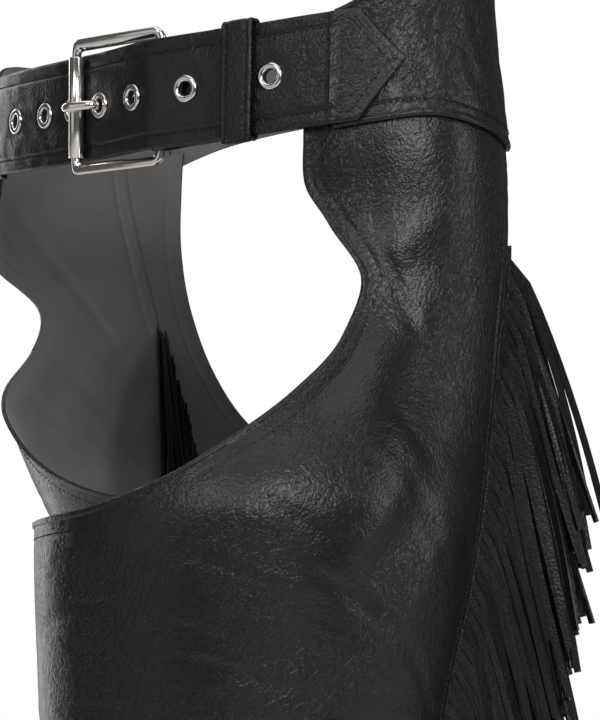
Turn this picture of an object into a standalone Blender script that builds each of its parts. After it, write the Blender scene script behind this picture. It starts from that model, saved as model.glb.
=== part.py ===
"""Fringed leather chaps in their worn, hollow form, with nobody in them.

Metres, +Z up. The wearer faces -Y and their left is +X. The origin is the
middle of the waist, level with the belt over the front of the left hip.
"""
import math

import bmesh
import bpy
from mathutils import Vector

LEFT = 1
RIGHT = -1
SIDE_NAMES = {LEFT: "left", RIGHT: "right"}

# Waist ring to the inside of the leather: a half ellipse in front and one behind
HIP_HALF_WIDTH = 0.148
FRONT_DEPTH = 0.067
SEAT_DEPTH = 0.087

# Leather thicknesses, and how far out from the waist ring each layer starts
LEG_THICK = 0.0016
YOKE_THICK = 0.0020
STRAP_THICK = 0.0024
YOKE_OUT = 0.0022
STRAP_MIDDLE_OUT = 0.0062
TONGUE_OVER_STRAP_OUT = 0.0090
PANEL_GAP = 0.0003

# Belt
BELT_HALF_HEIGHT = 0.025
BELT_MEAN_HEIGHT = 0.0001
BELT_FRONT_DIP = 0.0105
BELT_SIDE_TILT = 0.0066
SEAT_RISE = 0.012
RIGHT_YOKE_DROP = 0.006
ARROW_START = 0.1230
ARROW_TIP = 0.1372
ARROW_TIP_HALF_HEIGHT = 0.0006

# Buckle, in distances across the front from the centre and out from the ring
ROLLER_X = -0.0210
HINGE_X = 0.0290
ROLLER_OUT = 0.0114
HINGE_OUT = 0.0050
FRAME_BAR_RADIUS = 0.0022
FRAME_HALF_HEIGHT = 0.02825
FRAME_CORNER_RADIUS = 0.0035
ROLLER_RADIUS = 0.0036
ROLLER_BORE_RADIUS = 0.0027
ROLLER_HALF_LENGTH = 0.0238
PRONG_RADIUS = 0.0016
PRONG_HOLE_X = -0.0085
LOOP_RADIUS = 0.0037
SLOT_HALF_HEIGHT = 0.0030

# Eyelets: distance across the front, and whether it is in the tongue strap
EYELETS = (
    ("tongue_1", -0.0795),
    ("tongue_2", -0.0515),
    ("tongue_3", -0.0285),
    ("tongue_4", PRONG_HOLE_X),
    ("tongue_5", 0.0180),
    ("tongue_6", 0.0480),
    ("strap", 0.0880),
)
EYELET_RADIUS = 0.0063
EYELET_BORE = 0.0033
EYELET_BARREL = 0.0042
EYELET_HOLE = 0.0047
EYELET_RISE = 0.0010

# Keeper loop
KEEPER_START = 0.0665
KEEPER_END = 0.0810
KEEPER_THICK = 0.0018
KEEPER_HALF_HEIGHT = 0.0274
KEEPER_OUT = 0.0124
KEEPER_IN = 0.0028

# Yokes: angle from centre front in degrees, height over and under the belt's middle
YOKE_FRONT = {LEFT: 50.0, RIGHT: 42.0}
YOKE_EDGES = (
    (40, 0.0258, -0.0268),
    (50, 0.0262, -0.0268),
    (60, 0.0330, -0.0262),
    (75, 0.0390, -0.0265),
    (90, 0.0385, -0.0330),
    (105, 0.0330, -0.0430),
    (120, 0.0290, -0.0500),
    (135, 0.0270, -0.0380),
    (150, 0.0265, -0.0310),
    (180, 0.0280, -0.0280),
)

# How far the hip stands out from the waist ring, by height
FLARE = (
    (0.070, -0.0015),
    (0.020, 0.0000),
    (-0.030, 0.0068),
    (-0.050, 0.0082),
    (-0.120, 0.0082),
)

# Legs: height, then the section's centre sideways and in depth, and its radius
LEG_SECTIONS = {
    LEFT: (
        (0.060, 0.0700, -0.0050, 0.1000),
        (-0.030, 0.0700, -0.0120, 0.1040),
        (-0.080, 0.0715, -0.0300, 0.1040),
        (-0.120, 0.0730, -0.0420, 0.1025),
        (-0.160, 0.0735, -0.0480, 0.1005),
        (-0.218, 0.0750, -0.0560, 0.0970),
        (-0.297, 0.0760, -0.0665, 0.0872),
        (-0.400, 0.0790, -0.0740, 0.0840),
        (-0.500, 0.0820, -0.0780, 0.0820),
        (-0.620, 0.0840, -0.0740, 0.0800),
        (-0.800, 0.0860, -0.0620, 0.0790),
        (-0.980, 0.0880, -0.0500, 0.0780),
    ),
    RIGHT: (
        (0.060, 0.0700, 0.0000, 0.1000),
        (-0.030, 0.0700, 0.0040, 0.1040),
        (-0.080, 0.0715, 0.0180, 0.1045),
        (-0.120, 0.0730, 0.0350, 0.1030),
        (-0.160, 0.0750, 0.0550, 0.1010),
        (-0.218, 0.0780, 0.0850, 0.0965),
        (-0.297, 0.0820, 0.1180, 0.0880),
        (-0.400, 0.0840, 0.1500, 0.0870),
        (-0.500, 0.0850, 0.1750, 0.0820),
        (-0.620, 0.0860, 0.2000, 0.0800),
        (-0.800, 0.0870, 0.2350, 0.0790),
        (-0.980, 0.0880, 0.2650, 0.0780),
    ),
}
HEM_HEIGHT = -0.980
HIP_TO_THIGH_TOP = -0.045
HIP_TO_THIGH_LENGTH = 0.150
HIP_REACH = 1.05
RIGHT_HIP_DROP = 0.010
DROP_FADES_OVER = 0.300

# Seams, as angles round the leg in degrees: 0 is the front, 90 the outer side
OUTSEAM = 128.0
INSEAM = 260.0

# Cut edges: row, front angle, front height, back angle, back height, outseam height
CUT_EDGES = (
    (0, 38.5, -0.010, 154.0, -0.008, -0.014),
    (1, 40.0, -0.032, 151.0, -0.036, -0.036),
    (2, 46.0, -0.052, 147.0, -0.064, -0.062),
    (3, 64.0, -0.070, 144.0, -0.096, -0.096),
    (4, 80.5, -0.094, 144.0, -0.128, -0.134),
    (5, 73.0, -0.119, 148.0, -0.158, -0.172),
    (6, 54.0, -0.141, 158.0, -0.183, -0.206),
    (7, 37.0, -0.160, 174.0, -0.201, -0.236),
    (8, 19.0, -0.179, 194.0, -0.212, -0.262),
    (9, 0.0, -0.191, 214.0, -0.218, -0.284),
    (10, -22.0, -0.198, 232.0, -0.221, -0.302),
    (11, -46.0, -0.204, 244.0, -0.223, -0.316),
    (12, -72.0, -0.213, 253.0, -0.224, -0.326),
    (13, -100.0, -0.224, 260.0, -0.224, -0.334),
)
CUT_ROWS = 22
TUBE_ROWS = 11
FRONT_COLUMNS = 14
BACK_COLUMNS = 8

# Largest folds: angle, height, half-width in degrees, half-length, lean, depth
FOLDS = (
    (72.0, -0.130, 9.0, 0.050, 300.0, -0.0022),
    (88.0, -0.190, 10.0, 0.070, 260.0, -0.0025),
    (20.0, -0.330, 26.0, 0.030, 500.0, -0.0030),
    (60.0, -0.450, 40.0, 0.035, 0.0, -0.0045),
    (20.0, -0.520, 40.0, 0.030, 0.0, 0.0030),
    (200.0, -0.480, 45.0, 0.035, 0.0, -0.0050),
    (215.0, -0.560, 40.0, 0.035, 0.0, -0.0040),
    (10.0, -0.800, 60.0, 0.040, 0.0, -0.0040),
    (190.0, -0.860, 50.0, 0.040, 0.0, -0.0035),
)
FOLD_FREE_ANGLE = 7.0

# Fringe down each outseam
FRINGE_TOP = -0.080
FRINGE_FOOT = -0.862
STRANDS = 48
STRIP_START = 0.8
STRIP_END = 2.6
STRIP_GAP = 0.0004
STRIP_THICK = 0.0014
STRAND_ROOT_HEIGHT = 0.0030
STRAND_HALF_WIDTH = 0.0014
STRAND_HALF_THICK = 0.0007
STRAND_LENGTH = 0.122
STRAND_LEAN = math.radians(17.0)

BLACK = (0.012, 0.012, 0.013, 1.0)
NICKEL = (0.80, 0.77, 0.74, 1.0)


def clear_scene():
    for old in list(bpy.data.objects):
        bpy.data.objects.remove(old, do_unlink=True)


def new_collection(name):
    collection = bpy.data.collections.new(name)
    bpy.context.scene.collection.children.link(collection)
    return collection


def add_material(obj, colour, roughness, metallic):
    material = bpy.data.materials.new(obj.name)
    material.use_nodes = True
    shader = material.node_tree.nodes["Principled BSDF"]
    shader.inputs["Base Color"].default_value = colour
    shader.inputs["Roughness"].default_value = roughness
    shader.inputs["Metallic"].default_value = metallic
    obj.data.materials.append(material)


def add_leather(obj):
    add_material(obj, BLACK, 0.42, 0.0)


def add_nickel(obj):
    add_material(obj, NICKEL, 0.16, 1.0)


def new_object(name, mesh, collection):
    obj = bpy.data.objects.new(name, mesh)
    collection.objects.link(obj)
    return obj


def smooth(t):
    t = min(max(t, 0.0), 1.0)
    return t * t * (3.0 - 2.0 * t)


def slope(rows, index, column):
    before = rows[max(index - 1, 0)]
    after = rows[min(index + 1, len(rows) - 1)]
    return (after[column] - before[column]) / (after[0] - before[0])


def read(table, key):
    """Smooth values of a table's other columns where its first column is key"""
    rows = table if table[0][0] < table[-1][0] else table[::-1]
    key = min(max(key, rows[0][0]), rows[-1][0])
    index = max(i for i in range(len(rows) - 1) if rows[i][0] <= key)
    span = rows[index + 1][0] - rows[index][0]
    t = (key - rows[index][0]) / span
    values = []
    for column in range(1, len(rows[0])):
        start = rows[index][column]
        end = rows[index + 1][column]
        leave = slope(rows, index, column) * span
        arrive = slope(rows, index + 1, column) * span
        blend = smooth(t)
        value = start + (end - start) * blend
        value += leave * t * (1 - t) ** 2 - arrive * t * t * (1 - t)
        values.append(value)
    return values


def ring_point(angle):
    """Point and outward normal of the waist ring, angle in radians from centre front"""
    depth = FRONT_DEPTH if math.cos(angle) > 0 else SEAT_DEPTH
    point = Vector((HIP_HALF_WIDTH * math.sin(angle), -depth * math.cos(angle), 0.0))
    normal = Vector((point.x / HIP_HALF_WIDTH ** 2, point.y / depth ** 2, 0.0))
    return point, normal.normalized()


def ring_hit(start, heading):
    """Where a ray from inside the waist ring meets it, and the normal there"""
    for depth, sign in ((FRONT_DEPTH, -1), (SEAT_DEPTH, 1)):
        across = 1.0 / HIP_HALF_WIDTH ** 2
        along = 1.0 / depth ** 2
        a = heading.x ** 2 * across + heading.y ** 2 * along
        b = 2 * (start.x * heading.x * across + start.y * heading.y * along)
        c = start.x ** 2 * across + start.y ** 2 * along - 1.0
        reach = (-b + math.sqrt(max(b * b - 4 * a * c, 0.0))) / (2 * a)
        point = start + heading * reach
        if point.y * sign >= 0:
            break
    normal = Vector((point.x * across, point.y * along, 0.0))
    return point, normal.normalized()


def belt_height(angle):
    """Height of the belt's middle, lower in front and on the right"""
    dip = BELT_FRONT_DIP * math.cos(angle)
    return BELT_MEAN_HEIGHT - dip + BELT_SIDE_TILT * math.sin(angle)


def hip_flare(point, height):
    """How far the hip stands out over the ring at a point: nothing in front, most at the side"""
    return read(FLARE, height)[0] * (point.x / HIP_HALF_WIDTH) ** 2


def body_point(angle, height, out):
    """Point on the hips at an angle from centre front, a distance out from the ring"""
    point, normal = ring_point(angle)
    point = point + normal * (hip_flare(point, height) + out)
    return Vector((point.x, point.y, height))


def belt_point(x, up, out):
    """Point on the belt, x across it and up from its middle, straight from edge to edge"""
    angle = math.asin(x / HIP_HALF_WIDTH)
    middle = belt_height(angle)
    low = body_point(angle, middle - BELT_HALF_HEIGHT, out)
    high = body_point(angle, middle + BELT_HALF_HEIGHT, out)
    return low.lerp(high, (up + BELT_HALF_HEIGHT) / (2 * BELT_HALF_HEIGHT))


def facing(x, route_out):
    """Outward direction of a strap at x, square to its length and its height"""
    step = 0.002
    along = belt_point(x + step, 0.0, route_out(x + step)) - belt_point(x - step, 0.0, route_out(x - step))
    up = belt_point(x, step, route_out(x)) - belt_point(x, -step, route_out(x))
    return along.cross(up).normalized()


def fold_depth(angle, height):
    total = 0.0
    for fold_angle, fold_height, width, length, lean, depth in FOLDS:
        along = (height - fold_height) / length
        across = (angle - fold_angle - lean * (height - fold_height)) / width
        total += depth * math.exp(-along * along - across * across)
    from_outseam = abs(angle - OUTSEAM)
    from_inseam = min(abs(angle - INSEAM), abs(angle + 360 - INSEAM))
    clear = smooth((from_outseam - FOLD_FREE_ANGLE) / (2 * FOLD_FREE_ANGLE))
    return total * clear * smooth(from_inseam / (2 * FOLD_FREE_ANGLE))


def leg_point(side, angle, height, out):
    """Point on a leg's wall: the hip at the top, turning into a round tube"""
    if side == RIGHT:
        height -= RIGHT_HIP_DROP * (1 - smooth(-height / DROP_FADES_OVER))
    centre_x, centre_y, radius = read(LEG_SECTIONS[side], height)
    turn = math.radians(angle)
    heading = Vector((math.sin(turn), -math.cos(turn), 0.0))
    centre = Vector((centre_x, centre_y, 0.0))
    hit, normal = ring_hit(centre, heading)
    hip = hit + normal * (hip_flare(hit, height) + out) - centre
    hip = centre + hip * min(1.0, (HIP_REACH * radius + out) / hip.length)
    tube = centre + heading * (radius + out + fold_depth(angle, height))
    thigh = smooth((HIP_TO_THIGH_TOP - height) / HIP_TO_THIGH_LENGTH)
    point = hip.lerp(tube, thigh)
    return Vector((side * point.x, point.y, height))


def make_wall(name, outer, inner, collection):
    """Closed wall between two grids of points, joined along all four edges"""
    mesh = bpy.data.meshes.new(name)
    bm = bmesh.new()
    faces = [[[bm.verts.new(point) for point in row] for row in grid] for grid in (outer, inner)]
    rows = len(outer)
    columns = len(outer[0])
    for grid in faces:
        for i in range(rows - 1):
            for j in range(columns - 1):
                bm.faces.new((grid[i][j], grid[i][j + 1], grid[i + 1][j + 1], grid[i + 1][j]))
    top = [(0, j) for j in range(columns)]
    right = [(i, columns - 1) for i in range(1, rows)]
    bottom = [(rows - 1, j) for j in range(columns - 2, -1, -1)]
    left = [(i, 0) for i in range(rows - 2, 0, -1)]
    border = top + right + bottom + left
    for (a, b), (c, d) in zip(border, border[1:] + border[:1]):
        bm.faces.new((faces[0][a][b], faces[0][c][d], faces[1][c][d], faces[1][a][b]))
    bmesh.ops.recalc_face_normals(bm, faces=bm.faces)
    bm.to_mesh(mesh)
    bm.free()
    mesh.shade_smooth()
    mesh.set_sharp_from_angle(angle=math.radians(40))
    return new_object(name, mesh, collection)


def edge_row(t):
    """Cut edge and seam places, t from 0 at the top to 1 at the inseam, then 2 at the hem"""
    last = CUT_EDGES[-1]
    if t <= 1:
        return read(CUT_EDGES, t * last[0])
    front, front_height, back, back_height, seam_height = last[1:]
    down = t - 1
    heights = [top + (HEM_HEIGHT - top) * down for top in (front_height, back_height, seam_height)]
    return [front, heights[0], back, heights[1], heights[2]]


def panel_rows():
    cut = [i / CUT_ROWS for i in range(CUT_ROWS + 1)]
    return cut + [1 + (i + 1) / TUBE_ROWS for i in range(TUBE_ROWS)]


def seam_margin(side, height):
    """Half a panel gap, as an angle round the leg"""
    radius = read(LEG_SECTIONS[side], height)[2]
    return math.degrees(PANEL_GAP / radius)


def leg_panel(side, is_front, collection):
    """Front or back panel of a leg, from its cut edge and inseam to the outseam"""
    columns = FRONT_COLUMNS if is_front else BACK_COLUMNS
    outer = []
    inner = []
    for t in panel_rows():
        front, front_height, back, back_height, seam_height = edge_row(t)
        margin = seam_margin(side, seam_height)
        if is_front:
            start, start_height = front + margin, front_height
            end = OUTSEAM - margin
        else:
            start, start_height = back - margin, back_height
            end = OUTSEAM + margin
        outer_row = []
        inner_row = []
        for j in range(columns + 1):
            s = j / columns
            angle = start + (end - start) * s
            height = start_height + (seam_height - start_height) * s
            outer_row.append(leg_point(side, angle, height, LEG_THICK))
            inner_row.append(leg_point(side, angle, height, 0.0))
        outer.append(outer_row)
        inner.append(inner_row)
    part = "front" if is_front else "back"
    obj = make_wall(f"leg_{part}_{SIDE_NAMES[side]}", outer, inner, collection)
    add_leather(obj)


def yoke(side, collection):
    """Hip yoke from its front edge to the centre back"""
    columns = 22
    rows = 5
    front = YOKE_FRONT[side]
    back = 180 - math.degrees(PANEL_GAP / HIP_HALF_WIDTH)
    grids = []
    for out in (YOKE_OUT + YOKE_THICK, YOKE_OUT):
        grid = []
        for j in range(columns + 1):
            angle = front + (back - front) * j / columns
            above, below = read(YOKE_EDGES, angle)
            turn = math.radians(side * angle)
            rise = SEAT_RISE * max(0.0, -math.cos(turn))
            middle = belt_height(turn) + rise
            if side == RIGHT:
                above -= RIGHT_YOKE_DROP * smooth((angle - front) / 20) * smooth((180 - angle) / 40)
            heights = [middle + below + (above - below) * i / rows for i in range(rows + 1)]
            grid.append([body_point(turn, height, out) for height in heights])
        grids.append(grid)
    obj = make_wall(f"yoke_{SIDE_NAMES[side]}", grids[0], grids[1], collection)
    add_leather(obj)


def strap(name, route, collection):
    """Belt strap along a route of across, out and half-height, as a closed wall"""
    levels = (-1.0, 0.0, 1.0)
    outer = []
    inner = []
    for level in levels:
        line = [belt_point(x, level * half, out) for x, out, half in route]
        outer_row = []
        inner_row = []
        for i, point in enumerate(line):
            ahead = line[min(i + 1, len(line) - 1)]
            behind = line[max(i - 1, 0)]
            along = Vector((ahead.x - behind.x, ahead.y - behind.y, 0.0)).normalized()
            normal = Vector((along.y, -along.x, 0.0)) * (STRAP_THICK / 2)
            outer_row.append(point + normal)
            inner_row.append(point - normal)
        outer.append(outer_row)
        inner.append(inner_row)
    obj = make_wall(name, outer, inner, collection)
    add_leather(obj)
    return obj


def half_height(x):
    """Half the strap's height: full, then narrowing to the arrow tip on a yoke"""
    past = (abs(x) - ARROW_START) / (ARROW_TIP - ARROW_START)
    return BELT_HALF_HEIGHT + (ARROW_TIP_HALF_HEIGHT - BELT_HALF_HEIGHT) * min(max(past, 0.0), 1.0)


def buckle_strap_route():
    """Return ply, turn round the hinge bar, then along to the arrow tip on the left yoke"""
    route = [(0.0610, 0.0035), (0.0530, 0.0035), (0.0450, 0.0034), (0.0360, 0.0018)]
    for step in range(7):
        turn = math.radians(-90 - 30 * step)
        route.append((HINGE_X + LOOP_RADIUS * math.cos(turn), HINGE_OUT + LOOP_RADIUS * math.sin(turn)))
    route += [(0.0370, 0.0082), (0.0450, 0.0067), (0.0530, STRAP_MIDDLE_OUT)]
    steps = 9
    for step in range(1, steps + 1):
        route.append((0.0530 + (ARROW_START - 0.0530) * step / steps, STRAP_MIDDLE_OUT))
    route += [((ARROW_START + ARROW_TIP) / 2, STRAP_MIDDLE_OUT), (ARROW_TIP, STRAP_MIDDLE_OUT)]
    return [(x, out, half_height(x)) for x, out in route]


def tongue_strap_route():
    """From the arrow tip on the right yoke, under the roller, over the hinge, to the keeper"""
    route = [(-ARROW_TIP, STRAP_MIDDLE_OUT), (-(ARROW_START + ARROW_TIP) / 2, STRAP_MIDDLE_OUT)]
    steps = 12
    for step in range(steps + 1):
        route.append((-ARROW_START + (ARROW_START - 0.0160) * step / steps, STRAP_MIDDLE_OUT))
    rise = ((-0.0080, 0.0066), (0.0000, 0.0076), (0.0100, 0.0094), (0.0200, 0.0114))
    route += list(rise)
    route += [(0.0290, 0.0125), (0.0380, 0.0114), (0.0580, TONGUE_OVER_STRAP_OUT)]
    route += [(0.0670, TONGUE_OVER_STRAP_OUT), (0.0770, TONGUE_OVER_STRAP_OUT)]
    return [(x, out, half_height(x)) for x, out in route]


def out_along(route, x):
    """How far out a strap's middle lies at x, on its last pass there"""
    for (x0, out0, _), (x1, out1, _) in reversed(list(zip(route, route[1:]))):
        if x0 <= x <= x1:
            return out0 + (out1 - out0) * (x - x0) / (x1 - x0)
    raise ValueError("no strap there")


def turned_object(name, profile, steps, collection):
    """Closed profile of radius and height turned round Z"""
    mesh = bpy.data.meshes.new(name)
    bm = bmesh.new()
    verts = [bm.verts.new((radius, 0.0, height)) for radius, height in profile]
    for a, b in zip(verts, verts[1:] + verts[:1]):
        bm.edges.new((a, b))
    bm.to_mesh(mesh)
    bm.free()
    obj = new_object(name, mesh, collection)
    screw = obj.modifiers.new("Turn", "SCREW")
    screw.steps = steps
    screw.render_steps = steps
    screw.use_merge_vertices = True
    screw.merge_threshold = 0.00001
    screw.use_normal_flip = True
    screw.use_smooth_shade = True
    return obj


def cut(target, cutter):
    boolean = target.modifiers.new("Cut", "BOOLEAN")
    boolean.operation = "DIFFERENCE"
    boolean.object = cutter
    cutter.hide_render = True
    cutter.display_type = "WIRE"


def hole_cutter(name, place, outward, collection):
    bpy.ops.mesh.primitive_cylinder_add(vertices=16, radius=EYELET_HOLE, depth=4 * STRAP_THICK)
    obj = bpy.context.object
    obj.name = name
    obj.location = place
    obj.rotation_mode = "QUATERNION"
    obj.rotation_quaternion = outward.to_track_quat("Z", "Y")
    for old in list(obj.users_collection):
        old.objects.unlink(obj)
    collection.objects.link(obj)
    return obj


def eyelets(tongue, buckle_strap, parts, cutters):
    """Nickel eyelets with their barrels in holes through the straps"""
    profile = (
        (EYELET_BORE, -STRAP_THICK),
        (EYELET_BARREL, -STRAP_THICK),
        (EYELET_BARREL, 0.0003),
        (EYELET_RADIUS, 0.0003),
        ((EYELET_RADIUS + EYELET_BORE) / 2, EYELET_RISE),
        (EYELET_BORE, 0.0004),
    )
    for label, x in EYELETS:
        target = buckle_strap if label == "strap" else tongue
        route = buckle_strap_route() if label == "strap" else tongue_strap_route()
        outward = facing(x, lambda spot: out_along(route, spot))
        place = belt_point(x, 0.0, out_along(route, x))
        cut(target, hole_cutter(f"hole_{label}", place, outward, cutters))
        obj = turned_object(f"eyelet_{label}", profile, 12, parts)
        obj.location = place + outward * (STRAP_THICK / 2)
        obj.rotation_mode = "QUATERNION"
        obj.rotation_quaternion = outward.to_track_quat("Z", "Y")
        add_nickel(obj)


def tube_through(name, points, radius, closed, collection):
    """Round bar along a line of points"""
    curve = bpy.data.curves.new(name, "CURVE")
    curve.dimensions = "3D"
    curve.bevel_depth = radius
    curve.bevel_resolution = 2
    curve.use_fill_caps = not closed
    spline = curve.splines.new("POLY")
    spline.points.add(len(points) - 1)
    for spot, point in zip(spline.points, points):
        spot.co = (*point, 1.0)
    spline.use_cyclic_u = closed
    spline.use_smooth = True
    obj = new_object(name, curve, collection)
    add_nickel(obj)
    return obj


def frame_out(x):
    """How far out the tilted buckle frame lies at x"""
    t = (x - ROLLER_X) / (HINGE_X - ROLLER_X)
    return ROLLER_OUT + (HINGE_OUT - ROLLER_OUT) * t


def buckle_frame(collection):
    corners = (
        (HINGE_X, FRAME_HALF_HEIGHT, 0),
        (ROLLER_X, FRAME_HALF_HEIGHT, 90),
        (ROLLER_X, -FRAME_HALF_HEIGHT, 180),
        (HINGE_X, -FRAME_HALF_HEIGHT, 270),
    )
    points = []
    for x, up, start in corners:
        centre_x = x - math.copysign(FRAME_CORNER_RADIUS, x)
        centre_up = up - math.copysign(FRAME_CORNER_RADIUS, up)
        for step in range(5):
            turn = math.radians(start + 22.5 * step)
            spot_x = centre_x + FRAME_CORNER_RADIUS * math.cos(turn)
            spot_up = centre_up + FRAME_CORNER_RADIUS * math.sin(turn)
            points.append(belt_point(spot_x, spot_up, frame_out(spot_x)))
    tube_through("buckle_frame", points, FRAME_BAR_RADIUS, True, collection)


def roller(collection):
    profile = (
        (ROLLER_BORE_RADIUS, -ROLLER_HALF_LENGTH),
        (ROLLER_RADIUS, -ROLLER_HALF_LENGTH),
        (ROLLER_RADIUS, ROLLER_HALF_LENGTH),
        (ROLLER_BORE_RADIUS, ROLLER_HALF_LENGTH),
    )
    obj = turned_object("buckle_roller", profile, 12, collection)
    top = belt_point(ROLLER_X, FRAME_HALF_HEIGHT, ROLLER_OUT)
    foot = belt_point(ROLLER_X, -FRAME_HALF_HEIGHT, ROLLER_OUT)
    obj.location = (top + foot) / 2
    obj.rotation_mode = "QUATERNION"
    obj.rotation_quaternion = (top - foot).to_track_quat("Z", "Y")
    add_nickel(obj)


def prong(collection):
    """Turned round the hinge bar, up through the fourth eyelet and over the roller"""
    turn_radius = FRAME_BAR_RADIUS + PANEL_GAP + PRONG_RADIUS
    route = []
    for step in range(8):
        turn = math.radians(-130 + 30 * step)
        x = HINGE_X + turn_radius * math.cos(turn)
        route.append((x, HINGE_OUT + turn_radius * math.sin(turn)))
    route += [
        (0.0120, 0.0064),
        (PRONG_HOLE_X + 0.0040, 0.0030),
        (PRONG_HOLE_X + 0.0008, 0.0034),
        (PRONG_HOLE_X, 0.0054),
        (PRONG_HOLE_X, 0.0112),
        (PRONG_HOLE_X - 0.0014, 0.0134),
        (ROLLER_X + 0.0030, ROLLER_OUT + ROLLER_RADIUS + PANEL_GAP + PRONG_RADIUS),
        (ROLLER_X - 0.0020, ROLLER_OUT + ROLLER_RADIUS + PANEL_GAP + PRONG_RADIUS),
        (ROLLER_X - 0.0058, ROLLER_OUT + ROLLER_RADIUS + 0.0002),
    ]
    points = [belt_point(x, 0.0, out) for x, out in route]
    tube_through("buckle_prong", points, PRONG_RADIUS, False, collection)


def hinge_slot(target, cutters):
    """Slot in the turned end of the buckle strap, which lets the prong out"""
    bpy.ops.mesh.primitive_cube_add(size=1.0)
    obj = bpy.context.object
    obj.name = "hinge_slot_cutter"
    place = belt_point(HINGE_X - 0.0015, 0.0, HINGE_OUT)
    outward = facing(HINGE_X, lambda spot: HINGE_OUT)
    obj.dimensions = (0.0150, 0.0200, 2 * SLOT_HALF_HEIGHT)
    obj.location = place
    obj.rotation_euler = (0.0, 0.0, math.atan2(outward.y, outward.x) + math.pi / 2)
    for old in list(obj.users_collection):
        old.objects.unlink(obj)
    cutters.objects.link(obj)
    cut(target, obj)


def keeper(collection):
    """Loop round both straps, open at its two ends"""
    columns = 5

    def loop(thick):
        high = KEEPER_HALF_HEIGHT - thick
        far = KEEPER_OUT - thick
        near = KEEPER_IN + thick
        soft = 0.0008
        return (
            (high - soft, far), (-high + soft, far), (-high, far - soft), (-high, near + soft),
            (-high + soft, near), (high - soft, near), (high, near + soft), (high, far - soft),
        )

    mesh = bpy.data.meshes.new("keeper")
    bm = bmesh.new()
    shells = []
    for thick in (0.0, KEEPER_THICK):
        shell = []
        for i in range(columns + 1):
            x = KEEPER_START + (KEEPER_END - KEEPER_START) * i / columns
            shell.append([bm.verts.new(belt_point(x, up, out)) for up, out in loop(thick)])
        shells.append(shell)
    count = len(shells[0][0])
    for shell in shells:
        for i in range(columns):
            for j in range(count):
                k = (j + 1) % count
                bm.faces.new((shell[i][j], shell[i][k], shell[i + 1][k], shell[i + 1][j]))
    for end in (0, columns):
        for j in range(count):
            k = (j + 1) % count
            bm.faces.new((shells[0][end][j], shells[0][end][k], shells[1][end][k], shells[1][end][j]))
    bmesh.ops.recalc_face_normals(bm, faces=bm.faces)
    bm.to_mesh(mesh)
    bm.free()
    add_leather(new_object("keeper", mesh, collection))


def strand_length(i):
    return STRAND_LENGTH + 0.012 * math.sin(1.7 * i) + 0.008 * math.sin(0.9 * i + 1.0)


def fringe(side, collection):
    """Narrow strip behind the outseam with flat strands drawn out of its face"""
    name = f"fringe_{SIDE_NAMES[side]}"
    near = LEG_THICK + STRIP_GAP
    far = near + STRIP_THICK
    corners = (
        (OUTSEAM + STRIP_START, far), (OUTSEAM + STRIP_END, far),
        (OUTSEAM + STRIP_END, near), (OUTSEAM + STRIP_START, near),
    )
    pitch = (FRINGE_TOP - FRINGE_FOOT) / STRANDS
    heights = []
    for i in range(STRANDS):
        top = FRINGE_TOP - pitch * i
        heights += [top, top - STRAND_ROOT_HEIGHT]
    heights.append(FRINGE_FOOT)
    mesh = bpy.data.meshes.new(name)
    bm = bmesh.new()
    rings = [[bm.verts.new(leg_point(side, a, h, out)) for a, out in corners] for h in heights]
    roots = []
    for i, (upper, lower) in enumerate(zip(rings, rings[1:])):
        for j in range(4):
            k = (j + 1) % 4
            face = bm.faces.new((upper[j], upper[k], lower[k], lower[j]))
            if j == 0 and i % 2 == 0:
                roots.append((face, heights[i]))
    bm.faces.new(rings[0])
    bm.faces.new(rings[-1])
    bmesh.ops.recalc_face_normals(bm, faces=bm.faces)
    for i, (face, height) in enumerate(roots):
        draw_strand(bm, face, side, height, strand_length(i))
    bm.to_mesh(mesh)
    bm.free()
    add_leather(new_object(name, mesh, collection))


def draw_strand(bm, face, side, height, length):
    """Draw one strand out of a face of the strip: a short turn, then a straight fall"""
    middle = (STRIP_START + STRIP_END) / 2 + OUTSEAM
    root = leg_point(side, middle, height, LEG_THICK + STRIP_GAP + STRIP_THICK)
    outward = root - leg_point(side, middle, height, 0.0)
    outward = Vector((outward.x, outward.y, 0.0)).normalized()
    sideways = Vector((-outward.y, outward.x, 0.0))
    fall = outward * math.sin(STRAND_LEAN) - Vector((0, 0, 1)) * math.cos(STRAND_LEAN)
    over = outward * math.cos(STRAND_LEAN) + Vector((0, 0, 1)) * math.sin(STRAND_LEAN)
    bend = root + outward * 0.0024 - Vector((0, 0, 0.0036))
    spots = (bend, bend + fall * length * 0.5, bend + fall * length)
    for spot in spots:
        made = bmesh.ops.extrude_discrete_faces(bm, faces=[face])
        face = made["faces"][0]
        centre = sum((vert.co for vert in face.verts), Vector()) / 4
        signs = []
        for vert in face.verts:
            offset = vert.co - centre
            signs.append((math.copysign(1, offset.dot(sideways)), math.copysign(1, offset.dot(over))))
        for vert, (across, wide) in zip(face.verts, signs):
            vert.co = spot + sideways * (across * STRAND_HALF_THICK) + over * (wide * STRAND_HALF_WIDTH)


def main():
    clear_scene()
    parts = new_collection("Leather chaps")
    cutters = new_collection("Cutters")
    for side in (LEFT, RIGHT):
        yoke(side, parts)
        leg_panel(side, True, parts)
        leg_panel(side, False, parts)
        fringe(side, parts)
    buckle_strap = strap("strap_buckle", buckle_strap_route(), parts)
    tongue = strap("strap_tongue", tongue_strap_route(), parts)
    eyelets(tongue, buckle_strap, parts, cutters)
    hinge_slot(buckle_strap, cutters)
    keeper(parts)
    buckle_frame(parts)
    roller(parts)
    prong(parts)


main()
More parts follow.
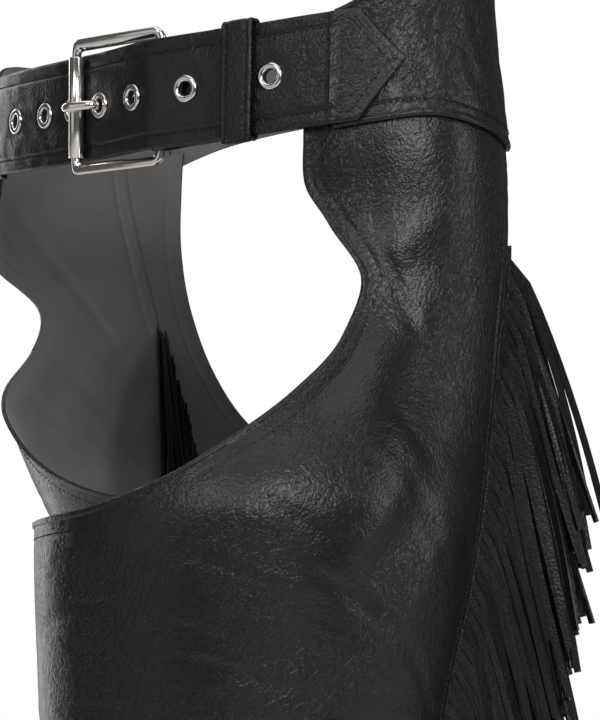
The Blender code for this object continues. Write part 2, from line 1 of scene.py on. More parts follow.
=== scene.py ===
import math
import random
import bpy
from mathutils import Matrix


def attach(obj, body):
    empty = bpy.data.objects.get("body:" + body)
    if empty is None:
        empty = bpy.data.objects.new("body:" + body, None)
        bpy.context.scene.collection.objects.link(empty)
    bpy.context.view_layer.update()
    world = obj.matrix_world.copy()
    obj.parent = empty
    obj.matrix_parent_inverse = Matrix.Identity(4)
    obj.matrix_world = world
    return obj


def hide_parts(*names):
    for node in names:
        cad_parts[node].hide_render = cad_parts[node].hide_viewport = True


bl_info = {
    "name": "Fringed leather chaps",
    "version": (1, 0, 0),
    "blender": (4, 5, 0),
    "location": "View3D > Sidebar > Chaps",
    "description": "Dresses the chaps' frame in pebbled leather, stitching, fringe and polished nickel",
    "category": "Object",
}

import bmesh
import bpy
import numpy as np
from bpy.props import FloatProperty, FloatVectorProperty, IntProperty, PointerProperty
from mathutils import Matrix, Vector

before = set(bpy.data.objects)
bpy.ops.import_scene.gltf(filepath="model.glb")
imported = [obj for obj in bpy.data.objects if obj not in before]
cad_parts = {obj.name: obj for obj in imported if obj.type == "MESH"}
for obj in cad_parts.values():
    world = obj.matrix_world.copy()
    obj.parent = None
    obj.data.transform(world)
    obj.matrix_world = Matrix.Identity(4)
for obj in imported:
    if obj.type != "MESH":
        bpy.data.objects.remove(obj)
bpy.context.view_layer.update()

LEFT = 1
RIGHT = -1
SIDE_NAMES = {LEFT: "left", RIGHT: "right"}
BODY = "root"

# The construction's own sizes, in metres
HIP_HALF_WIDTH = 0.148
FRONT_DEPTH = 0.067
SEAT_DEPTH = 0.087
LEG_THICK = 0.0016
YOKE_THICK = 0.0020
STRAP_THICK = 0.0024
YOKE_OUT = 0.0022
STRAP_OUT = 0.0062
TONGUE_OUT = 0.0090
SEAM_GAP = 0.0003
SEAM_LINE = 0.00004
BELT_HALF_HEIGHT = 0.025
BELT_MEAN_HEIGHT = 0.0001
BELT_FRONT_DIP = 0.0105
BELT_SIDE_TILT = 0.0066
SEAT_RISE = 0.012
RIGHT_YOKE_DROP = 0.006
ARROW_START = 0.1230
ARROW_TIP = 0.1372
ROLLER_X = -0.0210
HINGE_X = 0.0290
ROLLER_OUT = 0.0114
HINGE_OUT = 0.0050
FRAME_BAR = 0.0022
FRAME_HALF_HEIGHT = 0.02825
FRAME_CORNER = 0.0035
FRAME_WIDENING = 0.0010
ROLLER_RADIUS = 0.0036
ROLLER_HALF_LENGTH = 0.0238
PRONG_RADIUS = 0.0016
PRONG_HOLE_X = -0.0085
LOOP_RADIUS = 0.0037
KEEPER_START = 0.0665
KEEPER_END = 0.0810
KEEPER_THICK = 0.0018
KEEPER_HALF_HEIGHT = 0.0274
KEEPER_OUT = 0.0124
KEEPER_IN = 0.0028
EYELET_RADIUS = 0.0063
EYELET_BORE = 0.0033
YOKE_FRONT = {LEFT: 50.0, RIGHT: 42.0}
YOKE_EDGE_X = 0.1134
HEM_HEIGHT = -0.980
HIP_TO_THIGH_TOP = -0.045
HIP_TO_THIGH_LENGTH = 0.150
HIP_REACH = 1.05
RIGHT_HIP_DROP = 0.010
DROP_FADES_OVER = 0.300
OUTSEAM = 128.0
INSEAM = 260.0
FRINGE_TOP = -0.080
FRINGE_FOOT = -0.862
FIRST_STRAND_DROP = 0.0050

# Eyelets: node, place across the front
EYELETS = (
    ("eyelet_tongue_1", -0.0795),
    ("eyelet_tongue_2", -0.0515),
    ("eyelet_tongue_3", -0.0285),
    ("eyelet_tongue_4", PRONG_HOLE_X),
    ("eyelet_tongue_5", 0.0180),
    ("eyelet_tongue_6", 0.0480),
    ("eyelet_strap", 0.0880),
)

# Yoke edges: angle from centre front, height over and under the belt's middle
YOKE_EDGES = (
    (40, 0.0258, -0.0268),
    (50, 0.0262, -0.0268),
    (60, 0.0330, -0.0262),
    (75, 0.0390, -0.0265),
    (90, 0.0385, -0.0330),
    (105, 0.0330, -0.0430),
    (120, 0.0290, -0.0500),
    (135, 0.0270, -0.0380),
    (150, 0.0265, -0.0310),
    (180, 0.0280, -0.0280),
)

# Hip flare: height, distance out
FLARE = (
    (0.070, -0.0015),
    (0.020, 0.0000),
    (-0.030, 0.0068),
    (-0.050, 0.0082),
    (-0.120, 0.0082),
)

# Legs: height, centre sideways and in depth, radius
LEG_SECTIONS = {
    LEFT: (
        (0.060, 0.0700, -0.0050, 0.1000),
        (-0.030, 0.0700, -0.0120, 0.1040),
        (-0.080, 0.0715, -0.0300, 0.1040),
        (-0.120, 0.0730, -0.0420, 0.1025),
        (-0.160, 0.0735, -0.0480, 0.1005),
        (-0.218, 0.0750, -0.0560, 0.0970),
        (-0.297, 0.0760, -0.0665, 0.0872),
        (-0.400, 0.0790, -0.0740, 0.0840),
        (-0.500, 0.0820, -0.0780, 0.0820),
        (-0.620, 0.0840, -0.0740, 0.0800),
        (-0.800, 0.0860, -0.0620, 0.0790),
        (-0.980, 0.0880, -0.0500, 0.0780),
    ),
    RIGHT: (
        (0.060, 0.0700, 0.0000, 0.1000),
        (-0.030, 0.0700, 0.0040, 0.1040),
        (-0.080, 0.0715, 0.0180, 0.1045),
        (-0.120, 0.0730, 0.0350, 0.1030),
        (-0.160, 0.0750, 0.0550, 0.1010),
        (-0.218, 0.0780, 0.0850, 0.0965),
        (-0.297, 0.0820, 0.1180, 0.0880),
        (-0.400, 0.0840, 0.1500, 0.0870),
        (-0.500, 0.0850, 0.1750, 0.0820),
        (-0.620, 0.0860, 0.2000, 0.0800),
        (-0.800, 0.0870, 0.2350, 0.0790),
        (-0.980, 0.0880, 0.2650, 0.0780),
    ),
}

# Cut edges: row, front angle, front height, back angle, back height, outseam height
CUT_EDGES = (
    (0, 38.5, -0.010, 154.0, -0.008, -0.014),
    (1, 40.0, -0.032, 151.0, -0.036, -0.036),
    (2, 46.0, -0.052, 147.0, -0.064, -0.062),
    (3, 64.0, -0.070, 144.0, -0.096, -0.096),
    (4, 80.5, -0.094, 144.0, -0.128, -0.134),
    (5, 73.0, -0.119, 148.0, -0.158, -0.172),
    (6, 54.0, -0.141, 158.0, -0.183, -0.206),
    (7, 37.0, -0.160, 174.0, -0.201, -0.236),
    (8, 19.0, -0.179, 194.0, -0.212, -0.262),
    (9, 0.0, -0.191, 214.0, -0.218, -0.284),
    (10, -22.0, -0.198, 232.0, -0.221, -0.302),
    (11, -46.0, -0.204, 244.0, -0.223, -0.316),
    (12, -72.0, -0.213, 253.0, -0.224, -0.326),
    (13, -100.0, -0.224, 260.0, -0.224, -0.334),
)

# Large folds: angle, height, half-width in degrees, half-length, lean, depth
FOLDS = (
    (72.0, -0.130, 9.0, 0.050, 300.0, -0.0022),
    (88.0, -0.190, 10.0, 0.070, 260.0, -0.0025),
    (20.0, -0.330, 26.0, 0.030, 500.0, -0.0030),
    (60.0, -0.450, 40.0, 0.035, 0.0, -0.0045),
    (20.0, -0.520, 40.0, 0.030, 0.0, 0.0030),
    (200.0, -0.480, 45.0, 0.035, 0.0, -0.0050),
    (215.0, -0.560, 40.0, 0.035, 0.0, -0.0040),
    (10.0, -0.800, 60.0, 0.040, 0.0, -0.0040),
    (190.0, -0.860, 50.0, 0.040, 0.0, -0.0035),
)
FOLD_FREE_ANGLE = 7.0

# Creases: angle, height, direction in degrees from level, half-length, half-width, depth
CREASES = (
    (50.0, -0.062, -38.0, 0.020, 0.0030, 0.0009),
    (66.0, -0.060, -55.0, 0.026, 0.0040, 0.0010),
    (84.0, -0.078, -62.0, 0.034, 0.0050, 0.0012),
    (96.0, -0.112, -66.0, 0.030, 0.0040, 0.0010),
    (84.0, -0.150, -52.0, 0.030, 0.0038, 0.0012),
    (70.0, -0.168, -44.0, 0.034, 0.0036, 0.0013),
    (92.0, -0.196, -58.0, 0.038, 0.0042, 0.0011),
    (56.0, -0.196, -30.0, 0.032, 0.0032, 0.0011),
    (74.0, -0.232, -36.0, 0.036, 0.0040, 0.0013),
    (38.0, -0.214, -22.0, 0.030, 0.0030, 0.0009),
    (98.0, -0.262, -48.0, 0.034, 0.0042, 0.0010),
    (20.0, -0.236, -12.0, 0.034, 0.0034, 0.0010),
    (52.0, -0.262, -20.0, 0.040, 0.0040, 0.0012),
    (0.0, -0.232, 10.0, 0.026, 0.0030, 0.0009),
    (-22.0, -0.246, 24.0, 0.030, 0.0034, 0.0011),
    (6.0, -0.276, 4.0, 0.036, 0.0040, 0.0011),
    (34.0, -0.300, -14.0, 0.040, 0.0042, 0.0012),
    (-36.0, -0.286, 32.0, 0.030, 0.0036, 0.0010),
    (76.0, -0.312, -28.0, 0.036, 0.0044, 0.0010),
    (20.0, -0.350, 6.0, 0.044, 0.0050, 0.0012),
    (64.0, -0.392, -16.0, 0.040, 0.0050, 0.0012),
    (-20.0, -0.404, 14.0, 0.040, 0.0048, 0.0011),
    (30.0, -0.470, -6.0, 0.050, 0.0055, 0.0016),
    (80.0, -0.490, -20.0, 0.036, 0.0048, 0.0012),
    (-24.0, -0.500, 12.0, 0.044, 0.0050, 0.0013),
    (24.0, -0.560, 8.0, 0.048, 0.0055, 0.0013),
    (60.0, -0.640, -18.0, 0.040, 0.0050, 0.0010),
    (-10.0, -0.700, 16.0, 0.042, 0.0050, 0.0010),
    (40.0, -0.790, -10.0, 0.050, 0.0060, 0.0014),
    (0.0, -0.860, 10.0, 0.050, 0.0060, 0.0014),
    (70.0, -0.900, -14.0, 0.040, 0.0055, 0.0012),
    (160.0, -0.190, 40.0, 0.024, 0.0036, 0.0010),
    (176.0, -0.256, 26.0, 0.034, 0.0040, 0.0012),
    (214.0, -0.276, -18.0, 0.034, 0.0040, 0.0011),
    (168.0, -0.330, 12.0, 0.038, 0.0046, 0.0011),
    (222.0, -0.370, -24.0, 0.036, 0.0044, 0.0011),
    (190.0, -0.440, 6.0, 0.050, 0.0055, 0.0018),
    (176.0, -0.486, -8.0, 0.044, 0.0050, 0.0018),
    (220.0, -0.520, 14.0, 0.042, 0.0050, 0.0015),
    (186.0, -0.570, -4.0, 0.048, 0.0055, 0.0015),
    (206.0, -0.680, 20.0, 0.040, 0.0050, 0.0010),
    (180.0, -0.800, -10.0, 0.046, 0.0055, 0.0012),
    (210.0, -0.890, 8.0, 0.046, 0.0060, 0.0014),
)

# Broad swells and hollows between the creases: angle, height, half-width in degrees, half-length, lean, rise
SWELLS = (
    (76.0, -0.098, 9.0, 0.034, 650.0, 0.0019),
    (72.0, -0.126, 9.0, 0.034, 650.0, -0.0016),
    (63.0, -0.165, 14.0, 0.040, 500.0, 0.0020),
    (90.0, -0.196, 12.0, 0.040, 550.0, -0.0012),
    (62.0, -0.212, 15.0, 0.036, 500.0, 0.0014),
    (30.0, -0.204, 16.0, 0.036, 300.0, 0.0007),
    (45.0, -0.244, 16.0, 0.036, 300.0, -0.0012),
    (84.0, -0.252, 12.0, 0.050, 300.0, 0.0014),
    (56.0, -0.046, 12.0, 0.020, 500.0, 0.0012),
    (20.0, -0.300, 18.0, 0.040, 300.0, 0.0012),
    (70.0, -0.340, 16.0, 0.050, 300.0, -0.0012),
    (40.0, -0.420, 20.0, 0.050, 300.0, 0.0014),
    (10.0, -0.640, 20.0, 0.060, -200.0, 0.0014),
    (80.0, -0.740, 20.0, 0.070, 200.0, -0.0012),
    (190.0, -0.300, 20.0, 0.050, -300.0, 0.0014),
    (200.0, -0.620, 22.0, 0.060, 200.0, 0.0014),
    (180.0, -0.760, 20.0, 0.060, -200.0, -0.0012),
)

# Share of the creases' depth that the leather's stiffness leaves
CREASE_SHARE = 0.5

# Turned edges and stitch lines: distances in from an edge
ROLL_WIDTH = 0.0020
ROLL_RISE = 0.0009
CUT_EDGE_STITCH = 0.0078
SEAM_STITCHES = (0.0075,)
GROOVE_WIDTH = 0.0009
GROOVE_DEPTH = 0.0004
PUCKER = 0.00012
PUCKERS_PER_METRE = 1500.0
YOKE_STITCHES = (0.0016, 0.0075)
STRAP_STITCH = 0.0063
KEEPER_STITCH = 0.0024
THREAD_SINK = -0.00005


# The way that the fine creases run, and how much longer than wide they are
CREASE_RUN = Vector((0.398, 0.380, 0.835))
CREASE_STRETCH = 3.2


class ChapsLeather(bpy.types.PropertyGroup):
    colour: FloatVectorProperty(
        name="Leather colour", description="Colour of the grain side", subtype="COLOR",
        size=3, min=0, max=1, default=(0.0075, 0.0075, 0.0082))
    flesh: FloatVectorProperty(
        name="Flesh side colour", description="Colour of the raw inside", subtype="COLOR",
        size=3, min=0, max=1, default=(0.165, 0.160, 0.156))
    gloss: FloatProperty(
        name="Roughness", description="Roughness of the finish", default=0.34, min=0, max=1)
    pebble: FloatProperty(
        name="Pebble size", description="Width of one pebble of the grain", unit="LENGTH",
        default=0.0012, min=0.0002, max=0.01)
    pebble_depth: FloatProperty(
        name="Pebble depth", description="Depth of the grain", unit="LENGTH",
        default=0.00013, min=0, max=0.002)
    wrinkle: FloatProperty(
        name="Wrinkle size", description="Width between fine wrinkles", unit="LENGTH",
        default=0.0036, min=0.001, max=0.05)
    wrinkle_depth: FloatProperty(
        name="Wrinkle depth", description="Depth of the fine wrinkles", unit="LENGTH",
        default=0.00020, min=0, max=0.003)


class ChapsStitching(bpy.types.PropertyGroup):
    pitch: FloatProperty(
        name="Stitch pitch", description="Distance between stitches", unit="LENGTH",
        default=0.0031, min=0.001, max=0.02)
    length: FloatProperty(
        name="Stitch length", description="Length of thread that shows in one stitch",
        unit="LENGTH", default=0.0024, min=0.0005, max=0.02)
    thread: FloatProperty(
        name="Thread radius", description="Radius of the thread", unit="LENGTH",
        default=0.00036, min=0.0001, max=0.002)
    colour: FloatVectorProperty(
        name="Thread colour", description="Colour of the thread", subtype="COLOR",
        size=3, min=0, max=1, default=(0.010, 0.010, 0.011))


class ChapsFringe(bpy.types.PropertyGroup):
    strands: IntProperty(
        name="Strands", description="Strands down each leg", default=520, min=10, max=800)
    width: FloatProperty(
        name="Strand width", description="Width of a strand", unit="LENGTH",
        default=0.0031, min=0.001, max=0.01)
    thick: FloatProperty(
        name="Strand thickness", description="Thickness of a strand", unit="LENGTH",
        default=0.0012, min=0.0005, max=0.005)
    length: FloatProperty(
        name="Strand length", description="Mean length of a strand", unit="LENGTH",
        default=0.122, min=0.02, max=0.4)
    lean: FloatProperty(
        name="Lean", description="Mean lean of the strands away from the leg", unit="ROTATION",
        default=math.radians(13.6), min=0, max=1)


class ChapsMetal(bpy.types.PropertyGroup):
    colour: FloatVectorProperty(
        name="Nickel colour", description="Colour of the buckle and eyelets", subtype="COLOR",
        size=3, min=0, max=1, default=(0.82, 0.79, 0.76))
    polish: FloatProperty(
        name="Roughness", description="Roughness of the polished nickel", default=0.10, min=0, max=1)


class ChapsStage(bpy.types.PropertyGroup):
    azimuth: FloatProperty(
        name="Azimuth", description="Side that the camera stands on", unit="ROTATION",
        default=math.radians(43.66))
    distance: FloatProperty(
        name="Distance", description="From the waist to the camera", unit="LENGTH", default=1.126)
    aside: FloatProperty(
        name="Aside", description="Camera's place to the right of the waist", unit="LENGTH",
        default=0.036)
    height: FloatProperty(
        name="Camera height", description="Camera's height from the waist", unit="LENGTH",
        default=-0.130)
    lens: FloatProperty(name="Lens", description="Focal length in millimetres", default=115.0)
    floor: FloatProperty(
        name="Floor height", description="Height of the floor", unit="LENGTH", default=-0.982)


def smooth(t):
    t = np.clip(t, 0.0, 1.0)
    return t * t * (3.0 - 2.0 * t)


def read(table, key):
    """Smooth values of a table's other columns where its first column is key"""
    rows = np.array(sorted(table), dtype=float)
    keys = rows[:, 0]
    key = np.clip(np.asarray(key, dtype=float), keys[0], keys[-1])
    index = np.clip(np.searchsorted(keys, key, side="right") - 1, 0, len(keys) - 2)
    after = np.minimum(np.arange(len(keys)) + 1, len(keys) - 1)
    before = np.maximum(np.arange(len(keys)) - 1, 0)
    slopes = (rows[after] - rows[before]) / (keys[after] - keys[before])[:, None]
    span = (keys[index + 1] - keys[index])[..., None]
    t = (key - keys[index])[..., None] / span
    value = rows[index] + (rows[index + 1] - rows[index]) * smooth(t)
    value = value + slopes[index] * span * t * (1 - t) ** 2
    value = value - slopes[index + 1] * span * t * t * (1 - t)
    return [value[..., column] for column in range(1, rows.shape[1])]


def unit(vectors):
    return vectors / np.linalg.norm(vectors, axis=-1, keepdims=True)


def ring_normal(x, y, depth):
    return unit(np.stack([x / HIP_HALF_WIDTH ** 2, y / depth ** 2, np.zeros_like(x)], -1))


def hip_flare(x, height):
    return read(FLARE, height)[0] * (x / HIP_HALF_WIDTH) ** 2


def belt_height(turn):
    return BELT_MEAN_HEIGHT - BELT_FRONT_DIP * np.cos(turn) + BELT_SIDE_TILT * np.sin(turn)


def body_points(turn, height, out):
    """Points on the hips at angles from centre front in radians"""
    turn, height, out = np.broadcast_arrays(*(np.asarray(v, dtype=float) for v in (turn, height, out)))
    depth = np.where(np.cos(turn) > 0, FRONT_DEPTH, SEAT_DEPTH)
    x = HIP_HALF_WIDTH * np.sin(turn)
    y = -depth * np.cos(turn)
    normal = ring_normal(x, y, depth)
    points = np.stack([x, y, height], -1)
    return points + normal * (hip_flare(x, height) + out)[..., None]


def belt_points(x, up, out):
    """Points on the belt, x across the front and up from its middle"""
    turn = np.arcsin(np.asarray(x, dtype=float) / HIP_HALF_WIDTH)
    middle = belt_height(turn)
    low = body_points(turn, middle - BELT_HALF_HEIGHT, out)
    high = body_points(turn, middle + BELT_HALF_HEIGHT, out)
    share = (np.asarray(up, dtype=float) + BELT_HALF_HEIGHT) / (2 * BELT_HALF_HEIGHT)
    return low + (high - low) * share[..., None]


def fold_depth(angle, height):
    total = np.zeros_like(angle)
    for fold_angle, fold_height, width, length, lean, depth in FOLDS:
        along = (height - fold_height) / length
        across = (angle - fold_angle - lean * (height - fold_height)) / width
        total += depth * np.exp(-along * along - across * across)
    from_inseam = np.minimum(abs(angle - INSEAM), abs(angle + 360 - INSEAM))
    clear = smooth((abs(angle - OUTSEAM) - FOLD_FREE_ANGLE) / (2 * FOLD_FREE_ANGLE))
    return total * clear * smooth(from_inseam / (2 * FOLD_FREE_ANGLE))


def leg_surface(side, angle, height):
    """Inner points of a leg's wall and the directions out of it"""
    angle, height = np.broadcast_arrays(np.asarray(angle, dtype=float), np.asarray(height, dtype=float))
    if side == RIGHT:
        height = height - RIGHT_HIP_DROP * (1 - smooth(-height / DROP_FADES_OVER))
    cx, cy, radius = read(LEG_SECTIONS[side], height)
    turn = np.radians(angle)
    hx, hy = np.sin(turn), -np.cos(turn)
    across = 1.0 / HIP_HALF_WIDTH ** 2
    hits = []
    for depth in (FRONT_DEPTH, SEAT_DEPTH):
        along = 1.0 / depth ** 2
        a = hx ** 2 * across + hy ** 2 * along
        b = 2 * (cx * hx * across + cy * hy * along)
        c = cx ** 2 * across + cy ** 2 * along - 1.0
        reach = (-b + np.sqrt(np.maximum(b * b - 4 * a * c, 0.0))) / (2 * a)
        hits.append((cx + hx * reach, cy + hy * reach))
    in_front = hits[0][1] <= 0
    x = np.where(in_front, hits[0][0], hits[1][0])
    y = np.where(in_front, hits[0][1], hits[1][1])
    normal = ring_normal(x, y, np.where(in_front, FRONT_DEPTH, SEAT_DEPTH))
    zero = np.zeros_like(x)
    centre = np.stack([cx, cy, zero], -1)
    heading = np.stack([hx, hy, zero], -1)
    hip = np.stack([x, y, zero], -1) + normal * hip_flare(x, height)[..., None] - centre
    length = np.linalg.norm(hip, axis=-1)
    hip = centre + hip * np.minimum(1.0, HIP_REACH * radius / length)[..., None]
    tube = centre + heading * (radius + fold_depth(angle, height))[..., None]
    thigh = smooth((HIP_TO_THIGH_TOP - height) / HIP_TO_THIGH_LENGTH)[..., None]
    points = hip + (tube - hip) * thigh
    outward = unit(normal + (heading - normal) * thigh)
    points[..., 2] = height
    points[..., 0] *= side
    outward[..., 0] *= side
    return points, outward


def edge_row(t):
    """Cut edge and seam places: t from 0 at the top to 1 at the inseam, then 2 at the hem"""
    t = np.asarray(t, dtype=float)
    last = CUT_EDGES[-1]
    cut = read(CUT_EDGES, np.minimum(t, 1.0) * last[0])
    down = np.maximum(t - 1.0, 0.0)
    values = []
    for column, value in enumerate(cut):
        is_height = column in (1, 3, 4)
        values.append(value + (HEM_HEIGHT - value) * down if is_height else value)
    return values


def spaced(length, near_start, near_end, fine, coarse):
    """Shares from 0 to 1 along a length, fine near its ends and coarse between"""
    start = np.arange(0.0, near_start, fine)
    end = np.arange(0.0, near_end, fine)
    middle = np.linspace(near_start, length - near_end, max(int((length - near_start - near_end) / coarse), 2))
    return np.concatenate([start, middle, (length - end)[::-1]]) / length


def nearest(points, line):
    """Distance from each point of a grid to the nearest point of a line"""
    flat = points.reshape(-1, 3)
    best = np.full(len(flat), 1.0)
    for chunk in range(0, len(line), 64):
        gaps = flat[:, None, :] - line[None, chunk:chunk + 64, :]
        best = np.minimum(best, np.sqrt((gaps ** 2).sum(-1)).min(1))
    return best.reshape(points.shape[:-1])


def groove(distance, at):
    return -GROOVE_DEPTH * np.exp(-((distance - at) / GROOVE_WIDTH) ** 2)


def rolled(distance):
    """Rise of a turned edge, rounded off at the very edge"""
    rise = ROLL_RISE * (1 - smooth((distance - ROLL_WIDTH) / 0.0012))
    return rise - 0.0010 * np.clip(1 - distance / 0.0009, 0, 1) ** 2


def creases(angle, height, shift):
    """Relief of the creases and swells. shift moves them a little on the other leg"""
    total = np.zeros_like(angle)
    for spot, level, direction, length, width, depth in CREASES:
        across = np.radians(angle - spot - 7 * shift) * 0.09
        up = height - level - 0.009 * shift
        turn = math.radians(direction)
        bend = 0.12 * across * across / length
        along = (across * math.cos(turn) + up * math.sin(turn)) / length
        over = (-across * math.sin(turn) + up * math.cos(turn) + bend) / width
        total += depth * (over * over - 1) * np.exp(-over * over - along * along)
    total *= CREASE_SHARE
    for spot, level, width, length, lean, rise in SWELLS:
        along = (height - level) / length
        across = (angle - spot - lean * (height - level)) / width
        total += rise * np.exp(-along * along - across * across)
    return total


def wall(name, outer, inner, flip, slots):
    """Closed wall between two grids of points. slots are materials for outside and inside"""
    rows, columns = outer.shape[:2]
    count = rows * columns
    points = np.concatenate([outer.reshape(-1, 3), inner.reshape(-1, 3)])
    index = np.arange(count).reshape(rows, columns)
    quads = np.stack([index[:-1, :-1], index[:-1, 1:], index[1:, 1:], index[1:, :-1]], -1).reshape(-1, 4)
    border = np.concatenate([index[0], index[1:, -1], index[-1, -2::-1], index[-2:0:-1, 0]])
    ahead = np.roll(border, -1)
    rim = np.stack([border, border + count, ahead + count, ahead], -1)
    faces = np.concatenate([quads, quads[:, ::-1] + count, rim])
    if flip:
        faces = faces[:, ::-1]
    mesh = bpy.data.meshes.new(name)
    mesh.from_pydata(points.tolist(), [], faces.tolist())
    for material in slots:
        mesh.materials.append(material)
    if len(slots) > 1:
        inside = np.zeros(len(faces), dtype=np.int32)
        inside[len(quads):2 * len(quads)] = 1
        mesh.polygons.foreach_set("material_index", inside)
    mesh.update()
    mesh.shade_smooth()
    mesh.set_sharp_from_angle(angle=math.radians(50))
    obj = bpy.data.objects.new(name, mesh)
    bpy.context.scene.collection.objects.link(obj)
    return obj


def finish_piece(obj, slot, *nodes):
    """Every piece rides on the one body. slot is not used"""
    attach(obj, BODY)
    if nodes:
        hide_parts(*nodes)
    return obj


def link_nodes(tree, *pairs):
    for source, target in pairs:
        tree.links.new(source, target)


def add_node(tree, kind, **values):
    """Node of a kind, its attributes and numbered or named inputs set"""
    node = tree.nodes.new(kind)
    inputs = values.pop("inputs", {})
    for key, value in values.items():
        setattr(node, key, value)
    for key, value in inputs.items():
        node.inputs[key].default_value = value
    return node


def new_group(name, inputs, outputs):
    group = bpy.data.node_groups.new(name, "ShaderNodeTree")
    for label, kind, value in inputs:
        socket = group.interface.new_socket(label, in_out="INPUT", socket_type=kind)
        if value is not None:
            socket.default_value = value
    for label, kind in outputs:
        group.interface.new_socket(label, in_out="OUTPUT", socket_type=kind)
    return group, group.nodes.new("NodeGroupInput"), group.nodes.new("NodeGroupOutput")


def math_node(tree, operation, a, b=None):
    node = add_node(tree, "ShaderNodeMath", operation=operation)
    for socket, value in zip(node.inputs, (a, b)):
        if value is None:
            continue
        if isinstance(value, (int, float)):
            socket.default_value = value
        else:
            tree.links.new(value, socket)
    return node.outputs[0]


def grain_group():
    """Pebbled grain with fine wrinkles. Puts out its height in metres and a crevice mask, which sinks the height and
    paints shade into the leather's crevices
    """
    group, start, end = new_group(
        "Pebbled grain",
        (("Vector", "NodeSocketVector", None), ("Pebble Size", "NodeSocketFloat", 0.0013),
         ("Pebble Depth", "NodeSocketFloat", 0.0001), ("Wrinkle Size", "NodeSocketFloat", 0.008),
         ("Wrinkle Depth", "NodeSocketFloat", 0.0003)),
        (("Height", "NodeSocketFloat"), ("Crevice And Shade", "NodeSocketFloat"), ("Patch", "NodeSocketFloat")),
    )
    place = start.outputs["Vector"]
    warp = add_node(group, "ShaderNodeTexNoise", inputs={"Scale": 160.0, "Detail": 3.0, "Roughness": 0.6})
    link_nodes(group, (place, warp.inputs["Vector"]))
    shove = add_node(group, "ShaderNodeVectorMath", operation="SCALE", inputs={"Scale": 0.0045})
    link_nodes(group, (warp.outputs["Color"], shove.inputs[0]))
    moved = add_node(group, "ShaderNodeVectorMath", operation="ADD")
    link_nodes(group, (place, moved.inputs[0]), (shove.outputs[0], moved.inputs[1]))

    pebbles = add_node(group, "ShaderNodeTexVoronoi", feature="SMOOTH_F1", inputs={"Smoothness": 0.6})
    link_nodes(group, (place, pebbles.inputs["Vector"]))
    link_nodes(group, (math_node(group, "DIVIDE", 1.0, start.outputs["Pebble Size"]), pebbles.inputs["Scale"]))
    bumps = math_node(group, "SUBTRACT", 1.0, pebbles.outputs["Distance"])
    pebble_height = math_node(group, "MULTIPLY", bumps, start.outputs["Pebble Depth"])

    drawn = add_node(group, "ShaderNodeMapping", vector_type="TEXTURE", inputs={
        "Rotation": CREASE_RUN.to_track_quat("Z", "Y").to_euler(), "Scale": (1.0, 1.0, CREASE_STRETCH)})
    link_nodes(group, (moved.outputs[0], drawn.inputs["Vector"]))
    streaks = add_node(group, "ShaderNodeTexNoise", inputs={"Detail": 2.0, "Roughness": 0.55})
    link_nodes(group, (drawn.outputs["Vector"], streaks.inputs["Vector"]))
    link_nodes(group, (math_node(group, "DIVIDE", 1.6, start.outputs["Wrinkle Size"]), streaks.inputs["Scale"]))
    off_middle = math_node(group, "ABSOLUTE", math_node(group, "SUBTRACT", streaks.outputs["Fac"], 0.5))
    streak = add_node(group, "ShaderNodeMapRange", interpolation_type="SMOOTHSTEP",
                      inputs={"From Min": 0.0, "From Max": 0.038, "To Min": 1.0, "To Max": 0.0})
    link_nodes(group, (off_middle, streak.inputs["Value"]))

    lines = add_node(group, "ShaderNodeTexVoronoi", feature="DISTANCE_TO_EDGE")
    link_nodes(group, (drawn.outputs["Vector"], lines.inputs["Vector"]))
    link_nodes(group, (math_node(group, "DIVIDE", 1.0, start.outputs["Wrinkle Size"]), lines.inputs["Scale"]))
    spread = add_node(group, "ShaderNodeMapRange", interpolation_type="SMOOTHSTEP",
                      inputs={"From Min": 0.0, "From Max": 0.16, "To Min": 1.0, "To Max": 0.0})
    link_nodes(group, (lines.outputs["Distance"], spread.inputs["Value"]))

    patch = add_node(group, "ShaderNodeTexNoise", inputs={"Scale": 22.0, "Detail": 2.0, "Roughness": 0.5})
    link_nodes(group, (place, patch.inputs["Vector"]))
    strength = add_node(group, "ShaderNodeMapRange", interpolation_type="SMOOTHSTEP",
                        inputs={"From Min": 0.38, "From Max": 0.66, "To Min": 0.12, "To Max": 1.0})
    link_nodes(group, (patch.outputs["Fac"], strength.inputs["Value"]))
    both = math_node(group, "MAXIMUM", spread.outputs["Result"], streak.outputs["Result"])
    # Crevice mask: sinks the height below and, in the leather, darkens the colour as painted shade
    crevice_and_shade = math_node(group, "MULTIPLY", both, strength.outputs["Result"])

    soft = add_node(group, "ShaderNodeTexNoise", inputs={"Scale": 95.0, "Detail": 4.0, "Roughness": 0.62})
    link_nodes(group, (moved.outputs[0], soft.inputs["Vector"]))
    rumple = math_node(group, "MULTIPLY", soft.outputs["Fac"], start.outputs["Wrinkle Depth"])
    sunk = math_node(group, "MULTIPLY", crevice_and_shade, start.outputs["Wrinkle Depth"])
    height = math_node(group, "ADD", pebble_height, math_node(group, "MULTIPLY", rumple, 3.0))
    height = math_node(group, "SUBTRACT", height, sunk)
    link_nodes(group, (height, end.inputs["Height"]), (crevice_and_shade, end.inputs["Crevice And Shade"]),
               (patch.outputs["Fac"], end.inputs["Patch"]))
    return group


def new_material(name):
    material = bpy.data.materials.new(name)
    material.use_nodes = True
    return material, material.node_tree, material.node_tree.nodes["Principled BSDF"]


